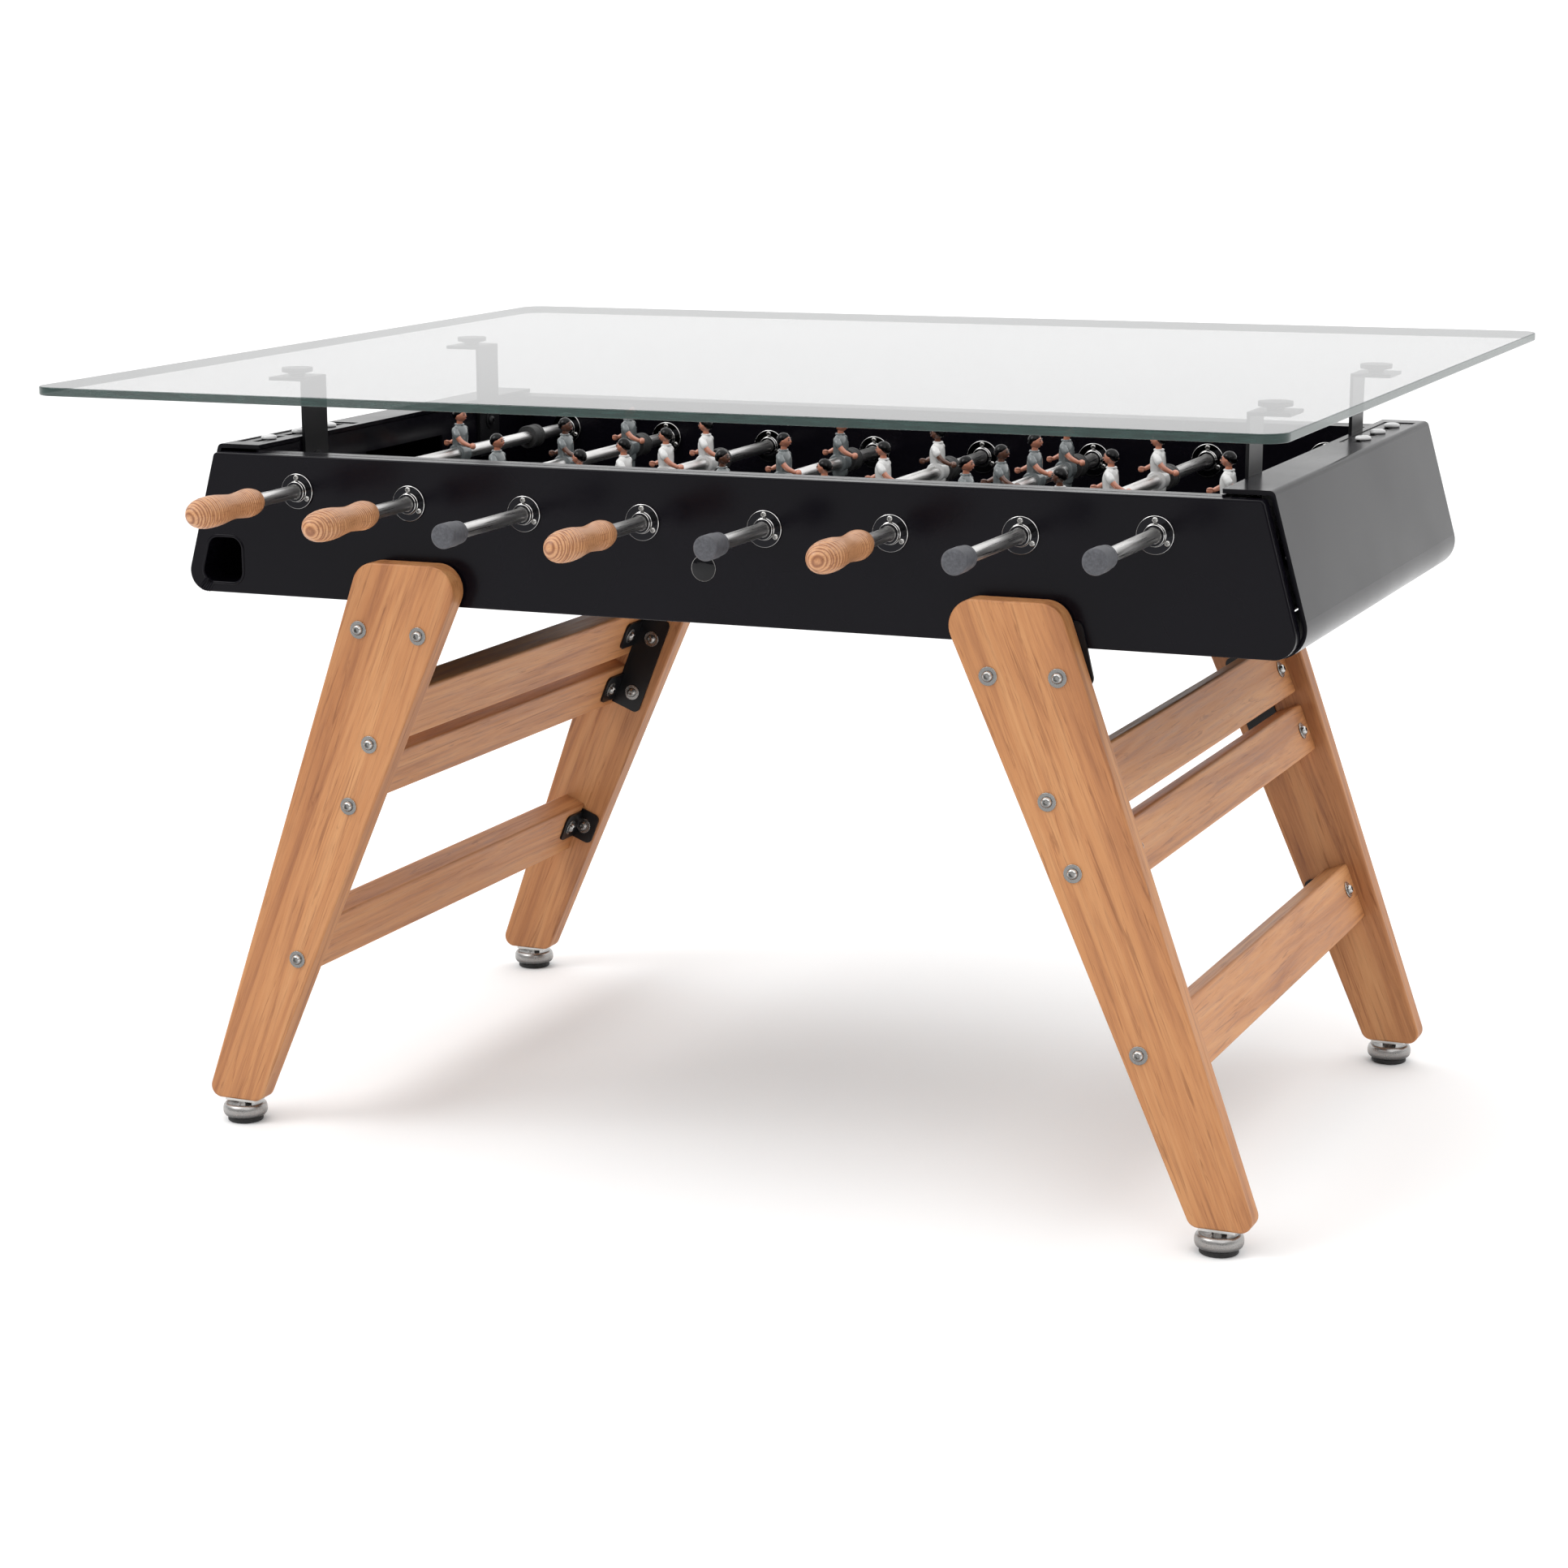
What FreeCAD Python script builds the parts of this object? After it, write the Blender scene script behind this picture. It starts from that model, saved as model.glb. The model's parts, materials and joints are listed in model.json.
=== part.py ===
import FreeCAD, Part
import os
import re
import Sketcher

V = FreeCAD.Vector
X_AXIS, Y_AXIS, Z_AXIS = V(1, 0, 0), V(0, 1, 0), V(0, 0, 1)

# A foosball table with a glass dining top. +X runs along the table, +Y across it and +Z up,
# with the origin on the floor below the middle. The table is the same after half a turn about Z.

doc = FreeCAD.newDocument("FoosballTable")
dims = doc.addObject("Spreadsheet::Sheet", "Dims")

DIMENSIONS = {
    # glass top
    "glass_length": 1449, "glass_width": 1254, "glass_thick": 10, "glass_top": 923, "glass_round": 28,
    # body: the two side panels are trapezia, the caps wrap round their sloping ends
    "panel_face": 379, "panel_deep": 20, "body_top": 825, "body_bottom": 657,
    "top_half": 640, "end_slope": 0.282, "panel_round": 24, "sheet": 3,
    "cap_gap": 3, "cap_thick": 5, "cap_face": 357, "cap_inner": 590, "cap_round": 32, "cap_foot": 600,
    "wall_face": 339, "end_face": 590, "goal_half": 100, "goal_tall": 75,
    "opening_wide": 58, "opening_low": 670, "opening_tall": 54, "opening_edge": 606, "opening_round": 14,
    "tray_front": 375.5, "tray_back": 295,
    # playfield, a plate bent to a very large radius
    "field_mid": 702, "field_radius": 8800, "field_thick": 6,
    # rods
    "rod_pitch": 150, "rod_low": 768, "rod_radius": 8, "running_gap": 0.08, "fit_gap": 0.05,
    "handle_end": 642, "handle_long": 138, "tip_long": 40, "tip_radius": 14,
    "flange_radius": 21, "flange_thick": 3, "hub_radius": 12, "hub_tall": 8,
    "sleeve_radius": 11, "sleeve_deep": 4.8, "screw_circle": 16.3, "screw_radius": 1.6,
    "bumper_radius": 15, "bumper_long": 26,
    # players
    "foot_drop": 62, "head_radius": 8.5, "head_top": 57, "waist_radius": 12.5, "waist_half": 11,
    # legs: tapered boards in a frame that leans outwards
    "leg_face": 412, "leg_thick": 30, "leg_top": 709, "leg_foot": 29,
    "leg_outer_top": 429, "leg_outer_foot": 667.5, "leg_inner_top": 288, "leg_inner_foot": 592,
    "leg_top_round": 30, "leg_foot_round": 14, "lean": 21.8,
    "rail_thick": 33, "rail_long": 763, "upper_rail_in": 597.2, "lower_rail_in": 584.2,
    "plate": 3, "bolt_hole": 4.3, "bolt_radius": 4, "washer_radius": 10.5, "head_wide": 6.5,
    "bracket_line": 573.2, "bracket_in": 555.2, "bracket_round": 8, "rail_bolt_face": 350,
    # feet
    "foot_along": 622, "foot_across": 397, "foot_radius": 27.5, "sole_radius": 22,
    "stud_radius": 5, "stud_top": 55, "nut_radius": 8,
    # glass supports
    "post_wide": 55, "post_thick": 4, "post_across": 228, "post_low": 757, "tab_out": 634,
    "disc_radius": 19, "disc_along": 610,
    # score counters
    "score_mid": 215, "score_long": 230, "score_in": 599, "score_wide": 38, "score_pitch": 72,
    "slot_long": 62, "slot_wide": 9, "knob_radius": 9.5,
}
for row, (alias, value) in enumerate(DIMENSIONS.items(), start=1):
    dims.set(f"A{row}", alias)
    dims.set(f"B{row}", str(value))
    dims.setAlias(f"B{row}", alias)
doc.recompute()

SUB_PARTS = []


def cells(text):
    """The same formula with each dimension's name pointed at its cell."""
    def point(match):
        word = match.group()
        return "Dims." + word if word in DIMENSIONS else word
    return re.sub(r"[A-Za-z_]+", point, str(text))


def number(text):
    """The value of a formula of dimensions."""
    return float(dims.evalExpression(cells(text)))


def bind(thing, **sizes):
    for name, text in sizes.items():
        thing.setExpression(name, cells(text))
    return thing


def place(thing, at=(0, 0, 0), turn=None):
    """Put a piece at a point given by three formulas, turned about an axis first."""
    if turn:
        thing.Placement = FreeCAD.Placement(V(), FreeCAD.Rotation(*turn))
    for letter, text in zip("xyz", at):
        thing.setExpression("Placement.Base." + letter, cells(text))
    return thing


def block(name, size, at, turn=None):
    """A box, from its low corner."""
    box = bind(doc.addObject("Part::Box", name), Length=size[0], Width=size[1], Height=size[2])
    return place(box, at, turn)


ALONG = {"x": (Y_AXIS, 90), "y": (X_AXIS, -90), "z": (Z_AXIS, 0)}


def bar(name, radius, length, at, along="z"):
    """A cylinder that starts at a point and runs along an axis."""
    cylinder = bind(doc.addObject("Part::Cylinder", name), Radius=radius, Height=length)
    return place(cylinder, at, ALONG[along])


def limb(name, radius, start, end):
    """A short cylinder between two points."""
    line = V(*end) - V(*start)
    cylinder = bind(doc.addObject("Part::Cylinder", name), Radius=radius, Height=line.Length)
    cylinder.Placement = FreeCAD.Placement(V(*start), FreeCAD.Rotation(Z_AXIS, line))
    return cylinder


def ball(name, radius, at):
    return place(bind(doc.addObject("Part::Sphere", name), Radius=radius), at)


def cut(name, base, tools):
    """A base with one or more tools taken out of it."""
    result = doc.addObject("Part::Cut", name)
    result.Base = base
    result.Tool = tools[0] if len(tools) == 1 else join(name + "_tools", tools)
    return result


def join(name, pieces):
    result = doc.addObject("Part::MultiFuse", name)
    result.Shapes = pieces
    return result


def group(name, pieces):
    """Separate solids kept as one sub-part."""
    result = doc.addObject("Part::Compound", name)
    result.Links = pieces
    return result


def copy_of(source, name, at, turn=None):
    link = doc.addObject("App::Link", name)
    link.LinkedObject = source
    return place(link, at, turn)


def draw(sketch, corners):
    """A closed outline whose corners are held by formulas."""
    points = [V(number(u), number(v), 0) for u, v in corners]
    count = len(points)
    for k in range(count):
        sketch.addGeometry(Part.LineSegment(points[k], points[(k + 1) % count]), False)
    for k in range(count):
        sketch.addConstraint(Sketcher.Constraint("Coincident", k, 2, (k + 1) % count, 1))
    for k, (u, v) in enumerate(corners):
        for kind, text, value in (("DistanceX", u, points[k].x), ("DistanceY", v, points[k].y)):
            index = sketch.addConstraint(Sketcher.Constraint(kind, -1, 1, k, 1, value))
            sketch.setExpression(f"Constraints[{index}]", cells(text))


def new_sketch(body, name, plane):
    sketch = body.newObject("Sketcher::SketchObject", name)
    support = [item for item in body.Origin.OriginFeatures if item.Role == plane][0]
    sketch.AttachmentSupport = [(support, "")]
    sketch.MapMode = "FlatFace"
    return sketch


def corner_edges(shape, plane, u, v):
    """The straight edges that stand on one corner of an outline."""
    found = []
    for index, edge in enumerate(shape.Edges, start=1):
        ends = [vertex.Point for vertex in edge.Vertexes]
        flat = [(p.x, p.z) if plane == "XZ_Plane" else (p.x, p.y) for p in ends]
        if len(flat) == 2 and all(abs(a - u) < 0.01 and abs(b - v) < 0.01 for a, b in flat):
            found.append(f"Edge{index}")
    return found


def outline(name, plane, corners, thick, at=(0, 0, 0), rounds=()):
    """A flat piece: an outline, its thickness, and (corner numbers, radius) for its round corners.

    On the XZ plane the thickness runs towards -Y, and on the XY plane towards +Z.
    """
    body = doc.addObject("PartDesign::Body", name)
    sketch = new_sketch(body, name + "_outline", plane)
    draw(sketch, corners)
    pad = body.newObject("PartDesign::Pad", name + "_pad")
    pad.Profile = sketch
    bind(pad, Length=thick)
    doc.recompute()
    last = pad
    for step, (numbers, radius) in enumerate(rounds):
        edges = []
        for k in numbers:
            edges += corner_edges(last.Shape, plane, number(corners[k][0]), number(corners[k][1]))
        fillet = body.newObject("PartDesign::Fillet", f"{name}_round_{step}")
        fillet.Base = (last, edges)
        bind(fillet, Radius=radius)
        doc.recompute()
        last = fillet
    return place(body, at)


def soften(name, body, radius, faces):
    """Ease every edge of some faces of a body, given by a test on the face."""
    last = body.Tip
    names = [f"Face{k}" for k, face in enumerate(last.Shape.Faces, start=1) if faces(face)]
    fillet = body.newObject("PartDesign::Fillet", name)
    fillet.Base = (last, names)
    bind(fillet, Radius=radius)
    doc.recompute()
    return body


def turned(name, profile, at=(0, 0, 0), turn=None):
    """A turned piece: (radius, height) corners swept round +Z."""
    body = doc.addObject("PartDesign::Body", name)
    sketch = new_sketch(body, name + "_profile", "XZ_Plane")
    draw(sketch, profile)
    revolution = body.newObject("PartDesign::Revolution", name + "_turn")
    revolution.Profile = sketch
    revolution.ReferenceAxis = (sketch, ["V_Axis"])
    revolution.Angle = 360
    doc.recompute()
    return place(body, at, turn)


def sub_part(thing, label):
    thing.Label = label
    SUB_PARTS.append(thing)
    return thing


def facing(axis):
    """A test for flat faces that look along an axis."""
    def test(face):
        flat = isinstance(face.Surface, Part.Plane)
        return flat and abs(abs(face.normalAt(0, 0).dot(axis)) - 1) < 1e-6
    return test


RODS = range(1, 9)
FRONT_HANDLES = (1, 2, 4, 6)


def rod_x(number_of_rod):
    return f"({number_of_rod} - 4.5) * rod_pitch"


def rod_z(number_of_rod):
    """The rods follow the dished field, so each keeps the same height above it."""
    return f"(rod_low + ({rod_x(number_of_rod)})^2 / (2 * field_radius))"


# Turns that point a piece's own +Z out of the front and out of the back.
OUT_FRONT = (X_AXIS, 90)
OUT_BACK = (V(0, 1, 1), 180)
SCREW_ANGLES = (90, 210, 330)


def screw_spot(k, angle):
    """The place of one of the three screws round rod k, along and up."""
    return f"{rod_x(k)} + screw_circle * cos({angle})", f"{rod_z(k)} + screw_circle * sin({angle})"


def bearing_holes(name, middle):
    """The holes that eight bearings need in a wall at a given place across the table."""
    tools = []
    for k in RODS:
        start = f"{middle} - 10"
        at = (rod_x(k), start, rod_z(k))
        tools.append(bar(f"{name}_hole_{k}", "sleeve_radius + 0.3", "20", at, "y"))
        for n, angle in enumerate(SCREW_ANGLES):
            across, up = screw_spot(k, angle)
            at = (across, start, up)
            tools.append(bar(f"{name}_screw_hole_{k}_{n}", "screw_radius + 0.1", "20", at, "y"))
    return tools


# ---------------------------------------------------------------- side panels

def trapezium(inset):
    """The outline of a side panel, drawn in by the same distance all round."""
    def half(up):
        return f"(top_half + end_slope * (body_top - {up}) - ({inset}) / cos(atan(end_slope)))"
    top, low = f"(body_top - ({inset}))", f"(body_bottom + ({inset}))"
    return [(f"-{half(top)}", top), (half(top), top), (half(low), low), (f"-{half(low)}", low)]


def ball_window(side, grow):
    """The outline of a ball opening, grown by the same distance all round."""
    near = f"{side} * (opening_edge - {grow})"
    far = f"{side} * (opening_edge + opening_wide + {grow})"
    far_top = f"{side} * (opening_edge + opening_wide + {grow} - end_slope * opening_tall)"
    low, top = f"opening_low - {grow}", f"opening_low + opening_tall + {grow}"
    return [(near, low), (far, low), (far_top, top), (near, top)]


def side_panel(side, label):
    """A shallow tray of painted sheet with eight rod holes and a ball opening at one end."""
    high_y = "-panel_face + panel_deep" if side < 0 else "panel_face"
    body = outline(label + "_sheet", "XZ_Plane", trapezium("0"), "panel_deep", (0, high_y, 0),
                   [((2, 3), "panel_round"), ((0, 1), "6")])
    soften(label + "_edge", body, "2", facing(Y_AXIS))
    high_y = "-panel_face + sheet + panel_deep" if side < 0 else "panel_face - sheet"
    hollow = outline(label + "_hollow", "XZ_Plane", trapezium("sheet"), "panel_deep", (0, high_y, 0),
                     [((2, 3), "panel_round - sheet"), ((0, 1), "6 - sheet")])
    hole = outline(label + "_ball_hole", "XZ_Plane", ball_window(side, "0"), "20",
                   (0, f"{side} * panel_face + 10", 0), [((0, 1, 2, 3), "opening_round")])
    tools = bearing_holes(label, f"{side} * panel_face")
    sub_part(cut(label, body, tools + [hollow, hole]), label)


side_panel(-1, "front_side_panel")
side_panel(1, "back_side_panel")


# ---------------------------------------------------------------- end caps

def end_cap(side, label):
    """A sheet bent over the top, down the sloping end and in under the body."""
    def skin(gap, inner_top, inner_low):
        top = f"(body_top + {gap})"
        low = f"(body_bottom + cap_gap - ({gap} - cap_gap))"
        out = f"(top_half + {gap} / cos(atan(end_slope)) + end_slope * (body_top - %s))"
        return [(f"{side} * ({inner_top})", top), (f"{side} * ({out % top})", top),
                (f"{side} * ({out % low})", low), (f"{side} * ({inner_low})", low)]
    outer = skin("(cap_gap + cap_thick)", "cap_inner", "cap_foot")
    inner = skin("cap_gap", "cap_inner - 20", "cap_foot - 30")
    shell = outline(label + "_outer", "XZ_Plane", outer, "2 * cap_face", (0, "cap_face", 0),
                    [((1,), "7"), ((2,), "cap_round")])
    hollow = outline(label + "_hollow", "XZ_Plane", inner, "2 * cap_face + 20", (0, "cap_face + 10", 0),
                     [((1,), "2"), ((2,), "cap_round - cap_thick")])
    low_x = "score_in" if side > 0 else "-score_in - score_wide"
    window = block(label + "_window", ("score_wide", "score_long", "30"),
                   (low_x, f"{side} * score_mid - score_long / 2", "body_top - 5"))
    sub_part(cut(label, shell, [hollow, window]), label)


end_cap(-1, "left_end_cap")
end_cap(1, "right_end_cap")


# ---------------------------------------------------------------- inner walls

def long_wall(side, name):
    """The wall of the field under one row of bearings, with a flange along its top."""
    low_y = "wall_face" if side > 0 else "-wall_face - sheet"
    wall = block(name + "_web", ("2 * end_face - 0.4", "sheet", "body_top - body_bottom - 7"),
                 ("-end_face + 0.2", low_y, "body_bottom + 7"))
    depth = "panel_face - panel_deep - wall_face - 1"
    low_y = "wall_face" if side > 0 else f"-wall_face - ({depth})"
    flange = block(name + "_flange", ("2 * end_face - 0.4", depth, "sheet"),
                   ("-end_face + 0.2", low_y, "body_top - sheet"))
    return cut(name, join(name + "_bent", [wall, flange]), bearing_holes(name, f"{side} * wall_face"))


POST_BOLTS = ("post_low + 12", "post_low + 46")


def end_wall(side, name):
    """The wall behind one goalkeeper, with the goal mouth through it."""
    low_x = "end_face" if side > 0 else "-end_face - sheet"
    wall = block(name + "_sheet", ("sheet", "2 * (panel_face - panel_deep - 1)", "body_top - body_bottom - 5"),
                 (low_x, "-(panel_face - panel_deep - 1)", "body_bottom + 7"))
    goal_low = "field_mid + end_face^2 / (2 * field_radius)"
    mouth = block(name + "_goal", ("30", "2 * goal_half", "goal_tall"),
                  (f"{side} * end_face - 15", "-goal_half", goal_low))
    bolts = [bar(f"{name}_bolt_{k + 1}_{n}", "bolt_hole", "20",
                 (f"{side} * end_face - 10", f"{k} * post_across", up), "x")
             for k in (-1, 1) for n, up in enumerate(POST_BOLTS)]
    return cut(name, wall, [mouth] + bolts)


sub_part(group("inner_walls", [long_wall(-1, "front_wall"), long_wall(1, "back_wall"),
                               end_wall(-1, "left_wall"), end_wall(1, "right_wall")]), "inner_walls")


# ---------------------------------------------------------------- playfield, base and ball trays

def playfield():
    """A plate between two coaxial cylinders of very large radius."""
    slab = block("field_slab", ("2 * end_face - 0.6", "2 * wall_face - 0.6", "60"),
                 ("-end_face + 0.3", "-wall_face + 0.3", "field_mid - 20"))
    under = bar("field_under", "field_radius + field_thick", "2 * wall_face + 20",
                (0, "-wall_face - 10", "field_mid + field_radius"), "y")
    over = bar("field_over", "field_radius", "2 * wall_face + 40",
               (0, "-wall_face - 20", "field_mid + field_radius"), "y")
    plate = doc.addObject("Part::Common", "field_plate")
    plate.Base = slab
    plate.Tool = under
    sub_part(cut("playfield", plate, [over]), "playfield")


def ball_tray(side, name):
    """A pocket behind a ball opening, open in front and, near its back, at its top for the ball."""
    high_y = "tray_front" if side > 0 else "-tray_back"
    outer = outline(name + "_outer", "XZ_Plane", ball_window(side, "3"), "tray_front - tray_back",
                    (0, high_y, 0), [((0, 1, 2, 3), "opening_round + 3")])
    high_y = "tray_front + 20" if side > 0 else "-tray_back - 2"
    inner = outline(name + "_inner", "XZ_Plane", ball_window(side, "1"), "tray_front - tray_back + 18",
                    (0, high_y, 0), [((0, 1, 2, 3), "opening_round + 1")])
    low_x = "opening_edge - 10" if side > 0 else "-opening_edge - opening_wide - 10"
    low_y = "tray_back + 4" if side > 0 else "-tray_back - 48"
    feed = block(name + "_feed", ("opening_wide + 20", "44", "30"),
                 (low_x, low_y, "opening_low + opening_tall - 8"))
    return cut(name, outer, [inner, feed])


def base():
    """The floor of the body, between the caps' feet, and the two ball trays."""
    floor = block("base_floor", ("2 * (cap_foot - 2)", "2 * (panel_face - panel_deep - 1)", "sheet"),
                  ("-cap_foot + 2", "-(panel_face - panel_deep - 1)", "body_bottom + 3.5"))
    trays = [ball_tray(-1, "front_tray"), ball_tray(1, "back_tray")]
    sub_part(group("base_pan", [floor] + trays), "base_pan")


playfield()
base()


# ---------------------------------------------------------------- bearings

BEARING_FACES = {"a": "-panel_face", "b": "-wall_face", "c": "wall_face", "d": "panel_face"}


def bearings():
    """A flanged bush on each face of each wall, four to a rod, with the rod running in them."""
    bore = "rod_radius + running_gap"
    plain = turned("plain_bush", [
        (bore, "-sleeve_deep"), ("sleeve_radius", "-sleeve_deep"), ("sleeve_radius", 0.001),
        ("flange_radius", 0.001), ("flange_radius", "flange_thick"), ("hub_radius", "flange_thick"),
        ("hub_radius", "hub_tall"), (bore, "hub_tall")])
    holes = [bar(f"bush_screw_hole_{angle}", "screw_radius + 0.1", "20",
                 (f"screw_circle * cos({angle})", f"screw_circle * sin({angle})", -5))
             for angle in SCREW_ANGLES]
    bush = cut("bush", plain, holes)
    doc.recompute()
    return [copy_of(bush, f"bush_{k}{tag}", (rod_x(k), face, rod_z(k)),
                    OUT_FRONT if tag in "ac" else OUT_BACK)
            for k in RODS for tag, face in BEARING_FACES.items()]


def bearing_screws():
    """Three screws through each bearing's flange, into the wall behind it."""
    screw = turned("bush_screw", [(0.001, -5.8), ("screw_radius", -5.8), ("screw_radius", 0.001),
                                  (3.6, 0.001), (3.1, 1.6), (1.6, 2.5), (0.001, 2.5)])
    heads = []
    for k in RODS:
        for tag, face in BEARING_FACES.items():
            turn, out = (OUT_FRONT, "-") if tag in "ac" else (OUT_BACK, "+")
            for n, angle in enumerate(SCREW_ANGLES):
                across, up = screw_spot(k, angle)
                at = (across, f"{face} {out} flange_thick", up)
                heads.append(copy_of(screw, f"bush_screw_{k}{tag}{n}", at, turn))
    return heads


sub_part(group("bearings", bearings()), "bearings")


# ---------------------------------------------------------------- rods, handles, tips and bumpers

# How far each rod is pushed along +Y as the table stands, and how far its plain end reaches from
# the middle of the rod. The goalkeepers' rods are the shorter ones.
PUSHED = {1: 28, 2: 30, 3: -50, 4: 30, 5: -15, 6: 42, 7: -62, 8: -100}
PLAIN_END = {1: 490, 2: 530, 3: 530, 4: 530, 5: 530, 6: 530, 7: 530, 8: 490}
# Where a bumper's outer end sits from the middle of the rod: towards the handle, towards the plain end.
BUMPERS = {1: (270.5, 215.5), 8: (270.5, 215.5)}
PLAYERS = {1: (0,), 2: (-187, 0, 187), 3: (-183, -61, 61, 183), 4: (-187, 0, 187),
           5: (-187, 0, 187), 6: (-183, -61, 61, 183), 7: (-187, 0, 187), 8: (0,)}


def rod_pieces(k):
    """A steel rod with a turned handle at one end and a rubber tip at the other."""
    way = -1 if k in FRONT_HANDLES else 1
    x, z, push, plain = rod_x(k), rod_z(k), PUSHED[k], PLAIN_END[k]

    def along(reach, length):
        """The low end of a piece that lies between two reaches on one side of the middle."""
        return f"{push} + {reach}" if length > 0 else f"{push} - ({reach})"

    def span(name, radius, start, end):
        """A bar from one reach to another, both counted towards the handle."""
        low, high = (start, end) if way > 0 else (f"-({end})", f"-({start})")
        return bar(name, radius, f"({end}) - ({start})", (x, f"{push} + ({low})", z), "y")

    shaft = span(f"rod_{k}", "rod_radius", f"-{plain} + 6", "handle_end - 12")
    sub_part(shaft, f"rod_{k}")

    handle = turned(f"handle_{k}_solid", [
        (0.001, 0.001), (11, 0.001), (13.5, 1.5), (16.5, 12), (16.8, 22), (14.6, 42), (14.4, 52),
        (17.2, 76), (18.2, 96), (18, 112), (16.4, 116), (17.2, 122), (15, 132), (9, "handle_long"),
        (0.001, "handle_long")],
        (x, f"{push} + {way} * (handle_end - handle_long)", z), ALONG["y"] if way > 0 else (X_AXIS, 90))
    bore = span(f"handle_{k}_bore", "rod_radius + fit_gap", "handle_end - handle_long - 5",
                "handle_end - 11.9")
    sub_part(cut(f"handle_{k}", handle, [bore]), f"handle_{k}")

    tip = span(f"tip_{k}_solid", "tip_radius", f"-{plain}", f"-{plain} + tip_long")
    socket = span(f"tip_{k}_socket", "rod_radius + running_gap", f"-{plain} + 5.8",
                  f"-{plain} + tip_long + 5")
    near, far = BUMPERS.get(k, (230.5, 230.5))
    rings = []
    for tag, start in (("near", f"{near} - bumper_long"), ("far", f"-{far}")):
        ring = span(f"bumper_{k}_{tag}", "bumper_radius", start, f"{start} + bumper_long")
        hole = span(f"bumper_{k}_{tag}_hole", "rod_radius + running_gap", f"{start} - 1",
                    f"{start} + bumper_long + 1")
        rings.append(cut(f"bumper_{k}_{tag}_ring", ring, [hole]))
    sub_part(group(f"rubbers_{k}", [cut(f"tip_{k}_cap", tip, [socket])] + rings), f"rubbers_{k}")


for k in RODS:
    rod_pieces(k)


# ---------------------------------------------------------------- players

def player():
    """One cast player, upright on a rod along Y and looking along +X."""
    torso = doc.addObject("Part::Ellipsoid", "player_chest")
    bind(torso, Radius1="19", Radius2="8.5", Radius3="13.5")
    place(torso, (0, 0, 20))
    pieces = [
        torso,
        bar("player_waist", "waist_radius", "2 * waist_half", (0, "-waist_half", 0), "y"),
        block("player_legs", ("11", "17", "foot_drop - 14"), (-5.5, -8.5, "-foot_drop + 6")),
        block("player_feet", ("18", "19", "13"), (-8, -9.5, "-foot_drop")),
        limb("player_neck", 4, (0, 0, 34), (1, 0, 44)),
        ball("player_head", "head_radius", (1, 0, "head_top - head_radius")),
    ]
    for side, reach in ((-1, 1), (1, -1)):
        shoulder, elbow, hand = (0, side * 13, 29), (reach * 12, side * 16, 17), (reach * 25, side * 12, 8)
        pieces += [ball(f"player_shoulder_{side + 1}", 4.4, shoulder),
                   limb(f"player_upper_arm_{side + 1}", 3.6, shoulder, elbow),
                   ball(f"player_elbow_{side + 1}", 3.6, elbow),
                   limb(f"player_forearm_{side + 1}", 3.2, elbow, hand),
                   ball(f"player_hand_{side + 1}", 3.9, hand)]
    bore = bar("player_bore", "rod_radius + fit_gap", "40", (0, -20, 0), "y")
    return cut("player", join("player_body", pieces), [bore])


the_player = player()
doc.recompute()
for k in RODS:
    turn = (Z_AXIS, 0 if k in FRONT_HANDLES else 180)
    team = [copy_of(the_player, f"player_{k}_{n}", (rod_x(k), f"{PUSHED[k]} + {spot}", rod_z(k)), turn)
            for n, spot in enumerate(PLAYERS[k], start=1)]
    sub_part(group(f"players_{k}", team), f"players_{k}")


# ---------------------------------------------------------------- legs, rails and brackets

# A point on the leaning end frame is given by how far out it is, square to the lean, and how far
# up the lean it is.
def frame_x(side, out, up):
    return f"{side} * (({out}) * cos(lean) - ({up}) * sin(lean))"


def frame_z(out, up):
    return f"(({out}) * sin(lean) + ({up}) * cos(lean))"


# How far up the lean the bracket line's bolts are, the places of the two bolts below the panel, and
# for each rail its inner face, its low edge, its height and its bolt.
LEG_BOLTS = (301, 218, 6)
MOUNT_BOLTS = ((430, 629), (351, 626))
RAILS = {"high": ("upper_rail_in", 265, 70, 301), "middle": ("upper_rail_in", 187, 62, 218),
         "low": ("lower_rail_in", -40, 75, 6)}


def leg_holes(name, sx, sy):
    """Five bolt holes across the board and one up into its foot for the levelling stud."""
    start = f"{sy} * leg_face - 30"
    spots = [(f"{sx} * {along}", str(height)) for along, height in MOUNT_BOLTS]
    spots += [(frame_x(sx, "bracket_line", up), frame_z("bracket_line", up)) for up in LEG_BOLTS]
    holes = [bar(f"{name}_hole_{n}", "bolt_hole", "60", (px, start, pz), "y")
             for n, (px, pz) in enumerate(spots)]
    stud = bar(name + "_stud_hole", "stud_radius + running_gap", "stud_top + 4",
               (f"{sx} * foot_along", f"{sy} * foot_across", 0))
    return holes + [stud]


def leg(sx, sy, label):
    """A tapered board, its top outside the body and its foot out near the corner."""
    corners = [(f"{sx} * leg_outer_top", "leg_top"), (f"{sx} * leg_outer_foot", "leg_foot"),
               (f"{sx} * leg_inner_foot", "leg_foot"), (f"{sx} * leg_inner_top", "leg_top")]
    back = "-leg_face + leg_thick" if sy < 0 else "leg_face"
    board = outline(label + "_board", "XZ_Plane", corners, "leg_thick", (0, back, 0),
                    [((0, 3), "leg_top_round"), ((1, 2), "leg_foot_round")])
    soften(label + "_edge", board, "3", facing(Y_AXIS))
    sub_part(cut(label, board, leg_holes(label, sx, sy)), label)


for sx, along in ((-1, "left"), (1, "right")):
    for sy, across in ((-1, "front"), (1, "back")):
        leg(sx, sy, f"leg_{across}_{along}")


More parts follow.
